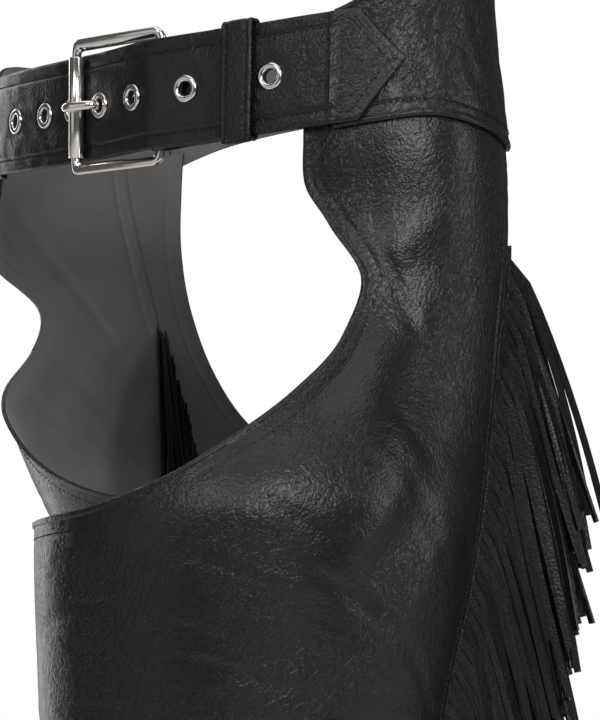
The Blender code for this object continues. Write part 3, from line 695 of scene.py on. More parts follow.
def leather(name, look, group, wrinkle_share, rough):
    """Grain side: near black and semi-gloss, with painted shade that darkens the colour in its crevices"""
    material, tree, shader = new_material(name)
    place = add_node(tree, "ShaderNodeTexCoord")
    grain = add_node(tree, "ShaderNodeGroup", node_tree=group, inputs={
        "Pebble Size": look.pebble, "Pebble Depth": look.pebble_depth,
        "Wrinkle Size": look.wrinkle, "Wrinkle Depth": look.wrinkle_depth * wrinkle_share})
    # Painted shade: the colour darkens to 0.45 of itself in the grain's crevices
    colour = add_node(tree, "ShaderNodeMixRGB", inputs={
        "Color1": (*look.colour, 1.0), "Color2": tuple(0.45 * part for part in look.colour) + (1.0,)})
    gloss = add_node(tree, "ShaderNodeMapRange", inputs={
        "From Min": 0.3, "From Max": 0.7, "To Min": rough - 0.04, "To Max": rough + 0.07})
    bump = add_node(tree, "ShaderNodeBump", inputs={"Strength": 1.0, "Distance": 1.0})
    link_nodes(
        tree,
        (place.outputs["Object"], grain.inputs["Vector"]),
        (grain.outputs["Crevice And Shade"], colour.inputs["Fac"]),
        (colour.outputs["Color"], shader.inputs["Base Color"]),
        (grain.outputs["Patch"], gloss.inputs["Value"]),
        (gloss.outputs["Result"], shader.inputs["Roughness"]),
        (grain.outputs["Height"], bump.inputs["Height"]),
        (bump.outputs["Normal"], shader.inputs["Normal"]),
    )
    shader.inputs["Specular IOR Level"].default_value = 0.5
    return material


def flesh_side(look, group):
    """Raw suede inside: matt and fibrous"""
    material, tree, shader = new_material("flesh side")
    place = add_node(tree, "ShaderNodeTexCoord")
    fibre = add_node(tree, "ShaderNodeTexNoise", inputs={"Scale": 900.0, "Detail": 6.0, "Roughness": 0.7})
    cloud = add_node(tree, "ShaderNodeTexNoise", inputs={"Scale": 30.0, "Detail": 3.0, "Roughness": 0.55})
    colour = add_node(tree, "ShaderNodeMixRGB", inputs={
        "Color1": tuple(0.7 * part for part in look.flesh) + (1.0,),
        "Color2": tuple(1.3 * part for part in look.flesh) + (1.0,)})
    bump = add_node(tree, "ShaderNodeBump", inputs={"Strength": 0.6, "Distance": 0.0004})
    link_nodes(
        tree,
        (place.outputs["Object"], fibre.inputs["Vector"]),
        (place.outputs["Object"], cloud.inputs["Vector"]),
        (cloud.outputs["Fac"], colour.inputs["Fac"]),
        (colour.outputs["Color"], shader.inputs["Base Color"]),
        (fibre.outputs["Fac"], bump.inputs["Height"]),
        (bump.outputs["Normal"], shader.inputs["Normal"]),
    )
    shader.inputs["Roughness"].default_value = 0.92
    shader.inputs["Sheen Weight"].default_value = 0.25
    return material


def thread(look):
    material, tree, shader = new_material("black thread")
    place = add_node(tree, "ShaderNodeTexCoord")
    twist = add_node(tree, "ShaderNodeTexNoise", inputs={"Scale": 2600.0, "Detail": 2.0})
    bump = add_node(tree, "ShaderNodeBump", inputs={"Strength": 0.5, "Distance": 0.0002})
    link_nodes(
        tree,
        (place.outputs["Object"], twist.inputs["Vector"]),
        (twist.outputs["Fac"], bump.inputs["Height"]),
        (bump.outputs["Normal"], shader.inputs["Normal"]),
    )
    shader.inputs["Base Color"].default_value = (*look.colour, 1.0)
    shader.inputs["Roughness"].default_value = 0.5
    return material


def nickel(look):
    """Polished nickel with faint handling marks"""
    material, tree, shader = new_material("polished nickel")
    place = add_node(tree, "ShaderNodeTexCoord")
    marks = add_node(tree, "ShaderNodeTexNoise", inputs={"Scale": 240.0, "Detail": 5.0, "Roughness": 0.6})
    gloss = add_node(tree, "ShaderNodeMapRange", inputs={
        "From Min": 0.35, "From Max": 0.75, "To Min": look.polish, "To Max": look.polish + 0.12})
    link_nodes(
        tree,
        (place.outputs["Object"], marks.inputs["Vector"]),
        (marks.outputs["Fac"], gloss.inputs["Value"]),
        (gloss.outputs["Result"], shader.inputs["Roughness"]),
    )
    shader.inputs["Base Color"].default_value = (*look.colour, 1.0)
    shader.inputs["Metallic"].default_value = 1.0
    return material


def painted_bore_shade():
    """Near black, rough and not metallic, mottled at random: painted shade in the eyelets' bores"""
    material, tree, shader = new_material("eyelet bore painted shade")
    place = add_node(tree, "ShaderNodeTexCoord")
    shade_mottle = add_node(tree, "ShaderNodeTexNoise", inputs={"Scale": 900.0, "Detail": 3.0})
    colour = add_node(tree, "ShaderNodeMixRGB", inputs={
        "Color1": (0.012, 0.011, 0.011, 1.0), "Color2": (0.035, 0.032, 0.030, 1.0)})
    link_nodes(
        tree,
        (place.outputs["Object"], shade_mottle.inputs["Vector"]),
        (shade_mottle.outputs["Fac"], colour.inputs["Fac"]),
        (colour.outputs["Color"], shader.inputs["Base Color"]),
    )
    shader.inputs["Roughness"].default_value = 0.7
    return material


def materials():
    """The finishes, made once and found by name afterwards"""
    scene = bpy.context.scene
    if "leg leather" not in bpy.data.materials:
        group = grain_group()
        look = scene.chaps_leather
        leather("leg leather", look, group, 1.0, look.gloss)
        leather("belt leather", look, group, 0.75, look.gloss + 0.02)
        leather("fringe leather", look, group, 0.25, look.gloss - 0.02)
        flesh_side(look, group)
        thread(scene.chaps_stitching)
        nickel(scene.chaps_metal)
        painted_bore_shade()
    return bpy.data.materials


# Stitch lines of each piece, gathered as the pieces are made
STITCH_LINES = {}


def keep_stitches(piece, line):
    STITCH_LINES.setdefault(piece, []).append(line)


def stitch_tree():
    """Stitches along a line: thread capsules set end to end at a pitch"""
    tree = bpy.data.node_groups.new("Stitches", "GeometryNodeTree")
    tree.interface.new_socket("Geometry", in_out="INPUT", socket_type="NodeSocketGeometry")
    for label in ("Pitch", "Length", "Thread Radius"):
        tree.interface.new_socket(label, in_out="INPUT", socket_type="NodeSocketFloat")
    tree.interface.new_socket("Material", in_out="INPUT", socket_type="NodeSocketMaterial")
    tree.interface.new_socket("Geometry", in_out="OUTPUT", socket_type="NodeSocketGeometry")
    start = tree.nodes.new("NodeGroupInput")
    end = tree.nodes.new("NodeGroupOutput")
    line = tree.nodes.new("GeometryNodeMeshToCurve")
    even = add_node(tree, "GeometryNodeResampleCurve", mode="LENGTH")
    spots = add_node(tree, "GeometryNodeCurveToPoints", mode="EVALUATED")
    capsule = add_node(tree, "GeometryNodeMeshUVSphere", inputs={"Segments": 6, "Rings": 5, "Radius": 1.0})
    half = math_node_geometry(tree, "MULTIPLY", start.outputs["Length"], 0.5)
    size = tree.nodes.new("ShaderNodeCombineXYZ")
    shaped = tree.nodes.new("GeometryNodeTransform")
    place = tree.nodes.new("GeometryNodeInstanceOnPoints")
    real = tree.nodes.new("GeometryNodeRealizeInstances")
    flat = add_node(tree, "GeometryNodeSetShadeSmooth")
    paint = tree.nodes.new("GeometryNodeSetMaterial")
    link_nodes(
        tree,
        (start.outputs["Geometry"], line.inputs["Mesh"]),
        (line.outputs["Curve"], even.inputs["Curve"]),
        (start.outputs["Pitch"], even.inputs["Length"]),
        (even.outputs["Curve"], spots.inputs["Curve"]),
        (start.outputs["Thread Radius"], size.inputs["X"]),
        (start.outputs["Thread Radius"], size.inputs["Y"]),
        (half, size.inputs["Z"]),
        (capsule.outputs["Mesh"], shaped.inputs["Geometry"]),
        (size.outputs["Vector"], shaped.inputs["Scale"]),
        (spots.outputs["Points"], place.inputs["Points"]),
        (shaped.outputs["Geometry"], place.inputs["Instance"]),
        (spots.outputs["Rotation"], place.inputs["Rotation"]),
        (place.outputs["Instances"], real.inputs["Geometry"]),
        (real.outputs["Geometry"], flat.inputs["Geometry"]),
        (flat.outputs["Geometry"], paint.inputs["Geometry"]),
        (start.outputs["Material"], paint.inputs["Material"]),
        (paint.outputs["Geometry"], end.inputs["Geometry"]),
    )
    return tree


def math_node_geometry(tree, operation, a, b):
    node = add_node(tree, "ShaderNodeMath", operation=operation)
    tree.links.new(a, node.inputs[0])
    node.inputs[1].default_value = b
    return node.outputs[0]


def stitched(name, lines, tree, look, material):
    """Plain mesh of the stitches on some lines"""
    points = []
    edges = []
    for line in lines:
        first = len(points)
        points += [tuple(point) for point in line]
        edges += [(i, i + 1) for i in range(first, len(points) - 1)]
    mesh = bpy.data.meshes.new(name + " lines")
    mesh.from_pydata(points, edges, [])
    guide = bpy.data.objects.new(name + " guide", mesh)
    bpy.context.scene.collection.objects.link(guide)
    modifier = guide.modifiers.new("Stitches", "NODES")
    modifier.node_group = tree
    values = {"Pitch": look.pitch, "Length": look.length, "Thread Radius": look.thread, "Material": material}
    for item in tree.interface.items_tree:
        if item.in_out == "INPUT" and item.name in values:
            modifier[item.identifier] = values[item.name]
    depsgraph = bpy.context.evaluated_depsgraph_get()
    made = bpy.data.meshes.new_from_object(guide.evaluated_get(depsgraph))
    made.name = name
    bpy.data.objects.remove(guide, do_unlink=True)
    bpy.data.meshes.remove(mesh)
    obj = bpy.data.objects.new(name, made)
    bpy.context.scene.collection.objects.link(obj)
    return obj


class CHAPS_OT_leg_panels(bpy.types.Operator):
    """Makes the front and back leather panels of both legs with their turned edges and creases"""
    bl_idname = "chaps.leg_panels"
    bl_label = "Leg panels"

    def execute(self, context):
        for side in (LEFT, RIGHT):
            for is_front in (True, False):
                self.make(side, is_front)
        return {"FINISHED"}

    def make(self, side, is_front):
        part = "front" if is_front else "back"
        name = f"leg_{part}_{SIDE_NAMES[side]}"
        rows = np.concatenate([np.linspace(0, 1, 121), np.linspace(1, 2, 161)[1:]])
        front, front_height, back, back_height, seam_height = (v[:, None] for v in edge_row(rows))
        margin = np.degrees(SEAM_LINE / read(LEG_SECTIONS[side], seam_height)[2])
        if is_front:
            start, start_height, end = front + margin, front_height, OUTSEAM - margin
            columns = spaced(0.34, 0.013, 0.026, 0.0012, 0.0046)
        else:
            start, start_height, end = back - margin, back_height, OUTSEAM + margin
            columns = spaced(0.20, 0.013, 0.006, 0.0012, 0.0046)
        angle = start + (end - start) * columns[None, :]
        height = start_height + (seam_height - start_height) * columns[None, :]
        inner, outward = leg_surface(side, angle, height)
        cut_rows = rows <= 1.0
        cut_edge = inner[cut_rows, 0]
        seam_edge = inner[:, -1]
        from_cut = nearest(inner, cut_edge)
        from_seam = nearest(inner, seam_edge)
        relief = creases(angle, height, 0 if side == LEFT else 1)
        relief *= smooth((np.minimum(from_cut, from_seam) - 0.004) / 0.014)
        relief += rolled(from_cut) + groove(from_cut, CUT_EDGE_STITCH)
        if is_front:
            relief += rolled(from_seam) * 0.7
            for distance in SEAM_STITCHES:
                relief += 1.5 * groove(from_seam, distance)
                in_band = smooth(from_seam / 0.003) * smooth((distance - from_seam) / 0.002)
                relief += in_band * (0.0003 + PUCKER * np.sin(height * PUCKERS_PER_METRE))
        inner = inner + outward * (relief - rolled(from_cut))[..., None]
        outer = inner + outward * (LEG_THICK + rolled(from_cut))[..., None]
        leathers = materials()
        obj = wall(name + "_skin", outer, inner, (side == LEFT) == is_front,
                   (leathers["leg leather"], leathers["flesh side"]))
        finish_piece(obj, "leather", name)
        self.stitch(name, side, is_front, rows)

    def stitch(self, name, side, is_front, rows):
        """Lines beside the cut edge and, on the front panel, beside the outseam"""
        t = np.linspace(0.0, 1.0, 400)
        front, front_height, back, back_height, seam_height = edge_row(t)
        edge_angle, edge_height = (front, front_height) if is_front else (back, back_height)
        edge, outward = leg_surface(side, edge_angle, edge_height)
        along = unit(np.gradient(edge, axis=0))
        inside = unit(np.cross(along, outward))
        seam_point = leg_surface(side, np.full_like(t, OUTSEAM), seam_height)[0]
        sign = np.sign((inside * (seam_point - edge)).sum(-1, keepdims=True))
        spots = edge + inside * sign * CUT_EDGE_STITCH
        keep_stitches(name, self.on_wall(side, spots))
        if is_front:
            down = np.linspace(-0.016, HEM_HEIGHT + 0.004, 500)
            for distance in SEAM_STITCHES:
                radius = read(LEG_SECTIONS[side], down)[2]
                angle = OUTSEAM - np.degrees(distance / radius)
                surface, outward = leg_surface(side, angle, down)
                lift = LEG_THICK - GROOVE_DEPTH * 0.6 - THREAD_SINK
                keep_stitches(name, surface + outward * lift)

    def on_wall(self, side, spots):
        """Puts free points back on the outside of the wall"""
        height = spots[:, 2]
        if side == RIGHT:
            for _ in range(4):
                height = spots[:, 2] + RIGHT_HIP_DROP * (1 - smooth(-height / DROP_FADES_OVER))
        cx, cy, _ = read(LEG_SECTIONS[side], spots[:, 2])
        angle = np.degrees(np.arctan2(side * spots[:, 0] - cx, -(spots[:, 1] - cy)))
        surface, outward = leg_surface(side, angle, height)
        return surface + outward * (LEG_THICK - GROOVE_DEPTH * 0.6 - THREAD_SINK)


class CHAPS_OT_yokes(bpy.types.Operator):
    """Makes the two hip yokes with their turned edges"""
    bl_idname = "chaps.yokes"
    bl_label = "Yokes"

    def execute(self, context):
        for side in (LEFT, RIGHT):
            self.make(side)
        return {"FINISHED"}

    def edges(self, side, angle):
        turn = np.radians(side * angle)
        above, below = read(YOKE_EDGES, angle)
        middle = belt_height(turn) + SEAT_RISE * np.maximum(0.0, -np.cos(turn))
        if side == RIGHT:
            above = above - RIGHT_YOKE_DROP * smooth((angle - YOKE_FRONT[side]) / 20) * smooth((180 - angle) / 40)
        return turn, middle + below, middle + above

    def make(self, side):
        name = f"yoke_{SIDE_NAMES[side]}"
        front = YOKE_FRONT[side]
        back = 180 - math.degrees(SEAM_GAP / HIP_HALF_WIDTH)
        columns = spaced(0.26, 0.006, 0.006, 0.0012, 0.003)
        rows = spaced(0.07, 0.012, 0.006, 0.0010, 0.003)
        angle = front + (back - front) * columns
        turn, low, high = self.edges(side, angle)
        turn = turn[:, None] + 0 * rows[None, :]
        height = low[:, None] + (high - low)[:, None] * rows[None, :]
        inner = body_points(turn, height, YOKE_OUT)
        outward = unit(body_points(turn, height, YOKE_OUT + 0.001) - inner)
        border = np.concatenate([inner[0], inner[-1], inner[:, 0], inner[:, -1]])
        distance = nearest(inner, border)
        from_hem = nearest(inner, inner[:, 0])
        relief = rolled(distance) * 0.7 + groove(from_hem, YOKE_STITCHES[1])
        wave = 0.0005 * np.sin(turn * 31 + height * 60) * np.sin(height * 140 + turn * 9)
        relief = relief + wave * smooth(distance / 0.02)
        outer = inner + outward * (YOKE_THICK + relief)[..., None]
        leathers = materials()
        obj = wall(name + "_skin", outer, inner, side == RIGHT, (leathers["leg leather"], leathers["flesh side"]))
        finish_piece(obj, "leather", name)
        fine = np.linspace(front + 0.6, back - 0.3, 300)
        for inset, edge in ((YOKE_STITCHES[0], 0), (YOKE_STITCHES[1], 0), (YOKE_STITCHES[1], 1)):
            turns, low, high = self.edges(side, fine)
            level = low + inset if edge == 0 else high - inset
            keep_stitches(name, body_points(turns, level, YOKE_OUT + YOKE_THICK - THREAD_SINK + 0.0001))


def buckle_strap_route():
    """Return ply, turn round the hinge bar, then along to the arrow tip on the left yoke"""
    route = [(0.0610, 0.0035), (0.0530, 0.0035), (0.0450, 0.0034), (0.0360, 0.0018)]
    for step in range(13):
        turn = math.radians(-90 - 15 * step)
        route.append((HINGE_X + LOOP_RADIUS * math.cos(turn), HINGE_OUT + LOOP_RADIUS * math.sin(turn)))
    route += [(0.0370, 0.0082), (0.0450, 0.0067), (0.0530, STRAP_OUT)]
    route += [(x, STRAP_OUT) for x in np.linspace(0.0560, ARROW_TIP, 34)]
    return np.array(route)


def tongue_strap_route():
    """From the right yoke under the roller, over the hinge, to the keeper"""
    route = [(x, STRAP_OUT) for x in np.linspace(-ARROW_TIP, -0.0160, 44)]
    route += [(-0.0080, 0.0066), (0.0000, 0.0076), (0.0100, 0.0094), (0.0200, 0.0114)]
    route += [(0.0290, 0.0125), (0.0380, 0.0114), (0.0580, TONGUE_OUT)]
    route += [(0.0670, TONGUE_OUT), (0.0770, TONGUE_OUT)]
    return np.array(route)


def smoothed(route, spacing):
    """Evenly spaced points of a soft curve through a route"""
    steps = np.concatenate([[0.0], np.cumsum(np.linalg.norm(np.diff(route, axis=0), axis=1))])
    rows = [(s, *point) for s, point in zip(steps, route)]
    s = np.linspace(0.0, steps[-1], int(steps[-1] / spacing) + 1)
    return np.stack(read(rows, s), -1)


def strap_grid(route, ups, half):
    """Middle points of a strap and the directions out of it, for each level of ups"""
    x, out = route[:, 0], route[:, 1]
    points = belt_points(x[:, None] + 0 * ups[None, :], ups[None, :] * half[:, None], out[:, None] + 0 * ups[None, :])
    along = np.gradient(points, axis=0)
    along[..., 2] = 0
    along = unit(along)
    outward = np.stack([along[..., 1], -along[..., 0], np.zeros_like(along[..., 0])], -1)
    return points, outward


class CHAPS_OT_straps(bpy.types.Operator):
    """Makes the buckle strap and the tongue strap with rounded edges and sunk stitch lines"""
    bl_idname = "chaps.straps"
    bl_label = "Belt straps"

    def execute(self, context):
        self.make("strap_buckle", smoothed(buckle_strap_route(), 0.0012))
        self.make("strap_tongue", smoothed(tongue_strap_route(), 0.0012))
        return {"FINISHED"}

    def half_heights(self, x):
        past = np.clip((abs(x) - ARROW_START) / (ARROW_TIP - ARROW_START), 0, 1)
        return BELT_HALF_HEIGHT + (0.0006 - BELT_HALF_HEIGHT) * past

    def make(self, name, route):
        half = self.half_heights(route[:, 0])
        ups = spaced(2.0, 0.32, 0.32, 0.026, 0.06) * 2 - 1
        middle, outward = strap_grid(route, ups, half)
        edge = (1 - abs(ups))[None, :] * half[:, None]
        ends = np.minimum(np.arange(len(route)), np.arange(len(route))[::-1])[:, None] * 0.0012
        edge = np.minimum(edge, ends + 0.0003)
        padded = groove(edge, STRAP_STITCH) + 0.0005 * smooth((edge - STRAP_STITCH) / 0.0024)
        padded = padded * (1 - smooth((abs(route[:, :1]) - YOKE_EDGE_X + 0.001) / 0.004))
        ridge = np.exp(-((abs(route[:, :1]) - YOKE_EDGE_X) / 0.0008) ** 2)
        ridge = ridge * (route[:, 1:] > STRAP_OUT - 0.0001)
        relief = padded - 0.0007 * np.clip(1 - edge / 0.0014, 0, 1) ** 2 + 0.0010 * ridge
        relief = relief + 0.00010 * np.sin(route[:, 0] * 420)[:, None] * np.sin(ups * 5 + route[:, 0][:, None] * 60)
        for _, x in EYELETS:
            near = np.hypot(route[:, 0][:, None] - x, ups[None, :] * half[:, None])
            relief = relief - 0.0004 * np.exp(-((near - 0.0065) / 0.0022) ** 2)
        outer = middle + outward * (STRAP_THICK / 2 + relief)[..., None]
        inner = middle - outward * (STRAP_THICK / 2)
        obj = wall(name + "_skin", outer, inner, False, (materials()["belt leather"],))
        self.punch(obj, name, route)
        finish_piece(obj, "leather", name)
        self.stitch(name, route, half)

    def punch(self, obj, name, route):
        """Cuts the eyelets' holes"""
        for node, x in EYELETS:
            if ("strap" in node) != (name == "strap_buckle"):
                continue
            place, outward, _ = eyelet_place(node, x)
            bpy.ops.mesh.primitive_cylinder_add(vertices=32, radius=0.0047, depth=4 * STRAP_THICK)
            cutter = bpy.context.object
            turn = outward.to_track_quat("Z", "Y").to_matrix().to_4x4()
            cutter.data.transform(Matrix.Translation(place) @ turn)
            boolean = obj.modifiers.new("Hole", "BOOLEAN")
            boolean.operation = "DIFFERENCE"
            boolean.object = cutter
            depsgraph = bpy.context.evaluated_depsgraph_get()
            made = bpy.data.meshes.new_from_object(obj.evaluated_get(depsgraph))
            obj.modifiers.remove(boolean)
            bpy.data.objects.remove(cutter, do_unlink=True)
            obj.data = made
        obj.data.shade_smooth()
        obj.data.set_sharp_from_angle(angle=math.radians(50))

    def stitch(self, name, route, half):
        start = 24 if name == "strap_buckle" else 0
        x = route[start:, 0]
        turned = np.argmin(x)
        line = route[start + turned:] if name == "strap_buckle" else route
        height = self.half_heights(line[:, 0])
        inset = np.maximum(height - STRAP_STITCH, 0.0)
        for sign in (1, -1):
            ups = np.array([sign])
            points, outward = strap_grid(line, ups, inset)
            lift = STRAP_THICK / 2 - GROOVE_DEPTH * 0.5
            run = (points + outward * lift)[:, 0]
            keep = inset > 0.004
            keep_stitches(name, run[keep])
        if name == "strap_buckle":
            self.box_stitch(name)

    def box_stitch(self, name):
        """Open box over the yoke's front edge and an arrow inside the tip"""
        out = STRAP_OUT + STRAP_THICK / 2 + 0.0002
        high = BELT_HALF_HEIGHT - 0.0115
        ups = np.linspace(high, -high, 40)
        keep_stitches(name, belt_points(np.full(40, 0.1172), ups, out))
        for sign in (1, -1):
            run = np.linspace(0.1172, 0.1205, 8)
            keep_stitches(name, belt_points(run, np.full(8, sign * high), out))
        inset = 0.0045
        for sign in (1, -1):
            x = np.linspace(0.1172, ARROW_TIP - 0.0030, 60)
            height = np.minimum(self.half_heights(x + 0.0025), BELT_HALF_HEIGHT) - inset
            keep_stitches(name, belt_points(x, sign * np.maximum(height, 0.0), out))


def eyelet_place(node, x):
    """Centre on the strap's outer face, outward direction and strap route of an eyelet"""
    in_buckle_strap = node == "eyelet_strap"
    route = buckle_strap_route()[20:] if in_buckle_strap else tongue_strap_route()
    spots = np.array([x - 0.002, x, x + 0.002])
    outs = np.interp(spots, route[:, 0], route[:, 1])
    points = belt_points(spots, np.zeros(3), outs)
    up = belt_points(x, 0.002, outs[1]) - belt_points(x, -0.002, outs[1])
    outward = Vector(np.cross(points[2] - points[0], up)).normalized()
    return Vector(points[1]), outward, route


def turned(name, profile, steps, place, outward, material):
    """Closed profile of radius and height turned about a line, as a plain mesh"""
    bm = bmesh.new()
    loops = []
    for step in range(steps):
        angle = 2 * math.pi * step / steps
        loops.append([bm.verts.new((r * math.cos(angle), r * math.sin(angle), h)) for r, h in profile])
    count = len(profile)
    for step in range(steps):
        ring, ahead = loops[step], loops[(step + 1) % steps]
        for j in range(count):
            k = (j + 1) % count
            bm.faces.new((ring[j], ahead[j], ahead[k], ring[k]))
    bmesh.ops.recalc_face_normals(bm, faces=bm.faces)
    turn = outward.to_track_quat("Z", "Y").to_matrix().to_4x4()
    bmesh.ops.transform(bm, matrix=Matrix.Translation(place) @ turn, verts=bm.verts)
    mesh = bpy.data.meshes.new(name)
    bm.to_mesh(mesh)
    bm.free()
    mesh.materials.append(material)
    mesh.shade_smooth()
    mesh.set_sharp_from_angle(angle=math.radians(50))
    obj = bpy.data.objects.new(name, mesh)
    bpy.context.scene.collection.objects.link(obj)
    return obj


class CHAPS_OT_eyelets(bpy.types.Operator):
    """Makes the rolled nickel eyelets"""
    bl_idname = "chaps.eyelets"
    bl_label = "Eyelets"

    def execute(self, context):
        barrel = 0.0042
        profile = [(EYELET_BORE, -STRAP_THICK), (barrel, -STRAP_THICK), (barrel, 0.0003)]
        middle = (EYELET_RADIUS + EYELET_BORE) / 2
        reach = (EYELET_RADIUS - EYELET_BORE) / 2
        for step in range(13):
            turn = math.pi * step / 12
            profile.append((middle + reach * math.cos(turn), 0.0003 + 0.00115 * math.sin(turn)))
        for node, x in EYELETS:
            place, outward, _ = eyelet_place(node, x)
            place = place + outward * (STRAP_THICK / 2)
            obj = turned(node + "_ring", profile, 40, place, outward, materials()["polished nickel"])
            # Painted shade: the bore under the roll takes a near-black, not metallic material
            obj.data.materials.append(materials()["eyelet bore painted shade"])
            self.paint_bore_shade(obj.data, place, outward)
            finish_piece(obj, "nickel", node)
        return {"FINISHED"}


    def paint_bore_shade(self, mesh, place, outward):
        """Gives the bore's faces under the ring's roll the near-black material: painted shade in the hole"""
        for face in mesh.polygons:
            from_centre = face.center - place
            level = from_centre.dot(outward)
            across = (from_centre - outward * level).length
            if across < EYELET_BORE + 0.0002 and level < 0.0002:
                face.material_index = 1


class CHAPS_OT_keeper(bpy.types.Operator):
    """Makes the keeper loop round both straps"""
    bl_idname = "chaps.keeper"
    bl_label = "Keeper"

    def loop(self, thick, inset):
        """Rounded rectangle of height and distance out"""
        high = KEEPER_HALF_HEIGHT - thick - inset
        far = KEEPER_OUT - thick - inset
        near = KEEPER_IN + thick + inset
        round_by = 0.0024 - 0.5 * thick
        points = []
        for up, out, start in ((high, far, 0), (-high, far, 90), (-high, near, 180), (high, near, 270)):
            for step in range(7):
                turn = math.radians(start + 15 * step)
                reach_up = round_by * math.cos(turn)
                reach_out = round_by * math.sin(turn)
                centre_up = up - math.copysign(round_by, up)
                centre_out = out - math.copysign(round_by, out - (far + near) / 2)
                points.append((centre_up + reach_up, centre_out + reach_out))
            if start in (0, 180):
                ends = (points[-1][0], -points[-1][0])
                points += [(u, out) for u in np.linspace(*ends, 16)[1:-1]]
        return points

    def execute(self, context):
        x = KEEPER_START + (KEEPER_END - KEEPER_START) * spaced(0.016, 0.004, 0.004, 0.0005, 0.001)
        edge = np.minimum(x - KEEPER_START, KEEPER_END - x)
        shells = []
        for thick, sign in ((0.0, 1), (KEEPER_THICK, -1)):
            shell = []
            for spot, distance in zip(x, edge):
                inset = 0.0
                if sign > 0:
                    inset = 0.0006 * max(0.0, 1 - distance / 0.0010) ** 2
                    inset += 0.6 * GROOVE_DEPTH * math.exp(-((distance - KEEPER_STITCH) / GROOVE_WIDTH) ** 2)
                loop = np.array(self.loop(thick, inset))
                shell.append(belt_points(np.full(len(loop), spot), loop[:, 0], loop[:, 1]))
            shells.append(shell)
        bm = bmesh.new()
        rings = [[[bm.verts.new(point) for point in loop] for loop in shell] for shell in shells]
        count = len(rings[0][0])
        for shell in rings:
            for a, b in zip(shell, shell[1:]):
                for j in range(count):
                    k = (j + 1) % count
                    bm.faces.new((a[j], a[k], b[k], b[j]))
        for end in (0, -1):
            for j in range(count):
                k = (j + 1) % count
                bm.faces.new((rings[0][end][j], rings[0][end][k], rings[1][end][k], rings[1][end][j]))
        bmesh.ops.recalc_face_normals(bm, faces=bm.faces)
        mesh = bpy.data.meshes.new("keeper_skin")
        bm.to_mesh(mesh)
        bm.free()
        mesh.materials.append(materials()["belt leather"])
        mesh.shade_smooth()
        mesh.set_sharp_from_angle(angle=math.radians(50))
        obj = bpy.data.objects.new("keeper_skin", mesh)
        context.scene.collection.objects.link(obj)
        finish_piece(obj, "leather", "keeper")
        high = KEEPER_HALF_HEIGHT - 0.002
        ups = np.linspace(high, -high, 60)
        for spot in (KEEPER_START + KEEPER_STITCH, KEEPER_END - KEEPER_STITCH):
            keep_stitches("keeper", belt_points(np.full(60, spot), ups, KEEPER_OUT - GROOVE_DEPTH * 0.5))
        return {"FINISHED"}


def bar(name, points, hints, radii, closed, material, sides=20):
    """Oval bar through points. hints point along the first radius of each section"""
    bm = bmesh.new()
    points = [Vector(point) for point in points]
    count = len(points)
    rings = []
    for i, point in enumerate(points):
        ahead = points[(i + 1) % count] if closed else points[min(i + 1, count - 1)]
        behind = points[i - 1] if closed or i else points[0]
        along = (ahead - behind).normalized()
        across = (hints[i] - along * hints[i].dot(along)).normalized()
        over = along.cross(across)
        ring = []
        for step in range(sides):
            turn = 2 * math.pi * step / sides
            offset = across * (radii[i][0] * math.cos(turn)) + over * (radii[i][1] * math.sin(turn))
            ring.append(bm.verts.new(point + offset))
        rings.append(ring)
    pairs = list(zip(rings, rings[1:]))
    if closed:
        pairs.append((rings[-1], rings[0]))
    for a, b in pairs:
        for j in range(sides):
            k = (j + 1) % sides
            bm.faces.new((a[j], a[k], b[k], b[j]))
    if not closed:
        bm.faces.new(rings[0])
        bm.faces.new(rings[-1])
    bmesh.ops.recalc_face_normals(bm, faces=bm.faces)
    mesh = bpy.data.meshes.new(name)
    bm.to_mesh(mesh)
    bm.free()
    mesh.materials.append(material)
    mesh.shade_smooth()
    mesh.set_sharp_from_angle(angle=math.radians(60))
    obj = bpy.data.objects.new(name, mesh)
    bpy.context.scene.collection.objects.link(obj)
    return obj


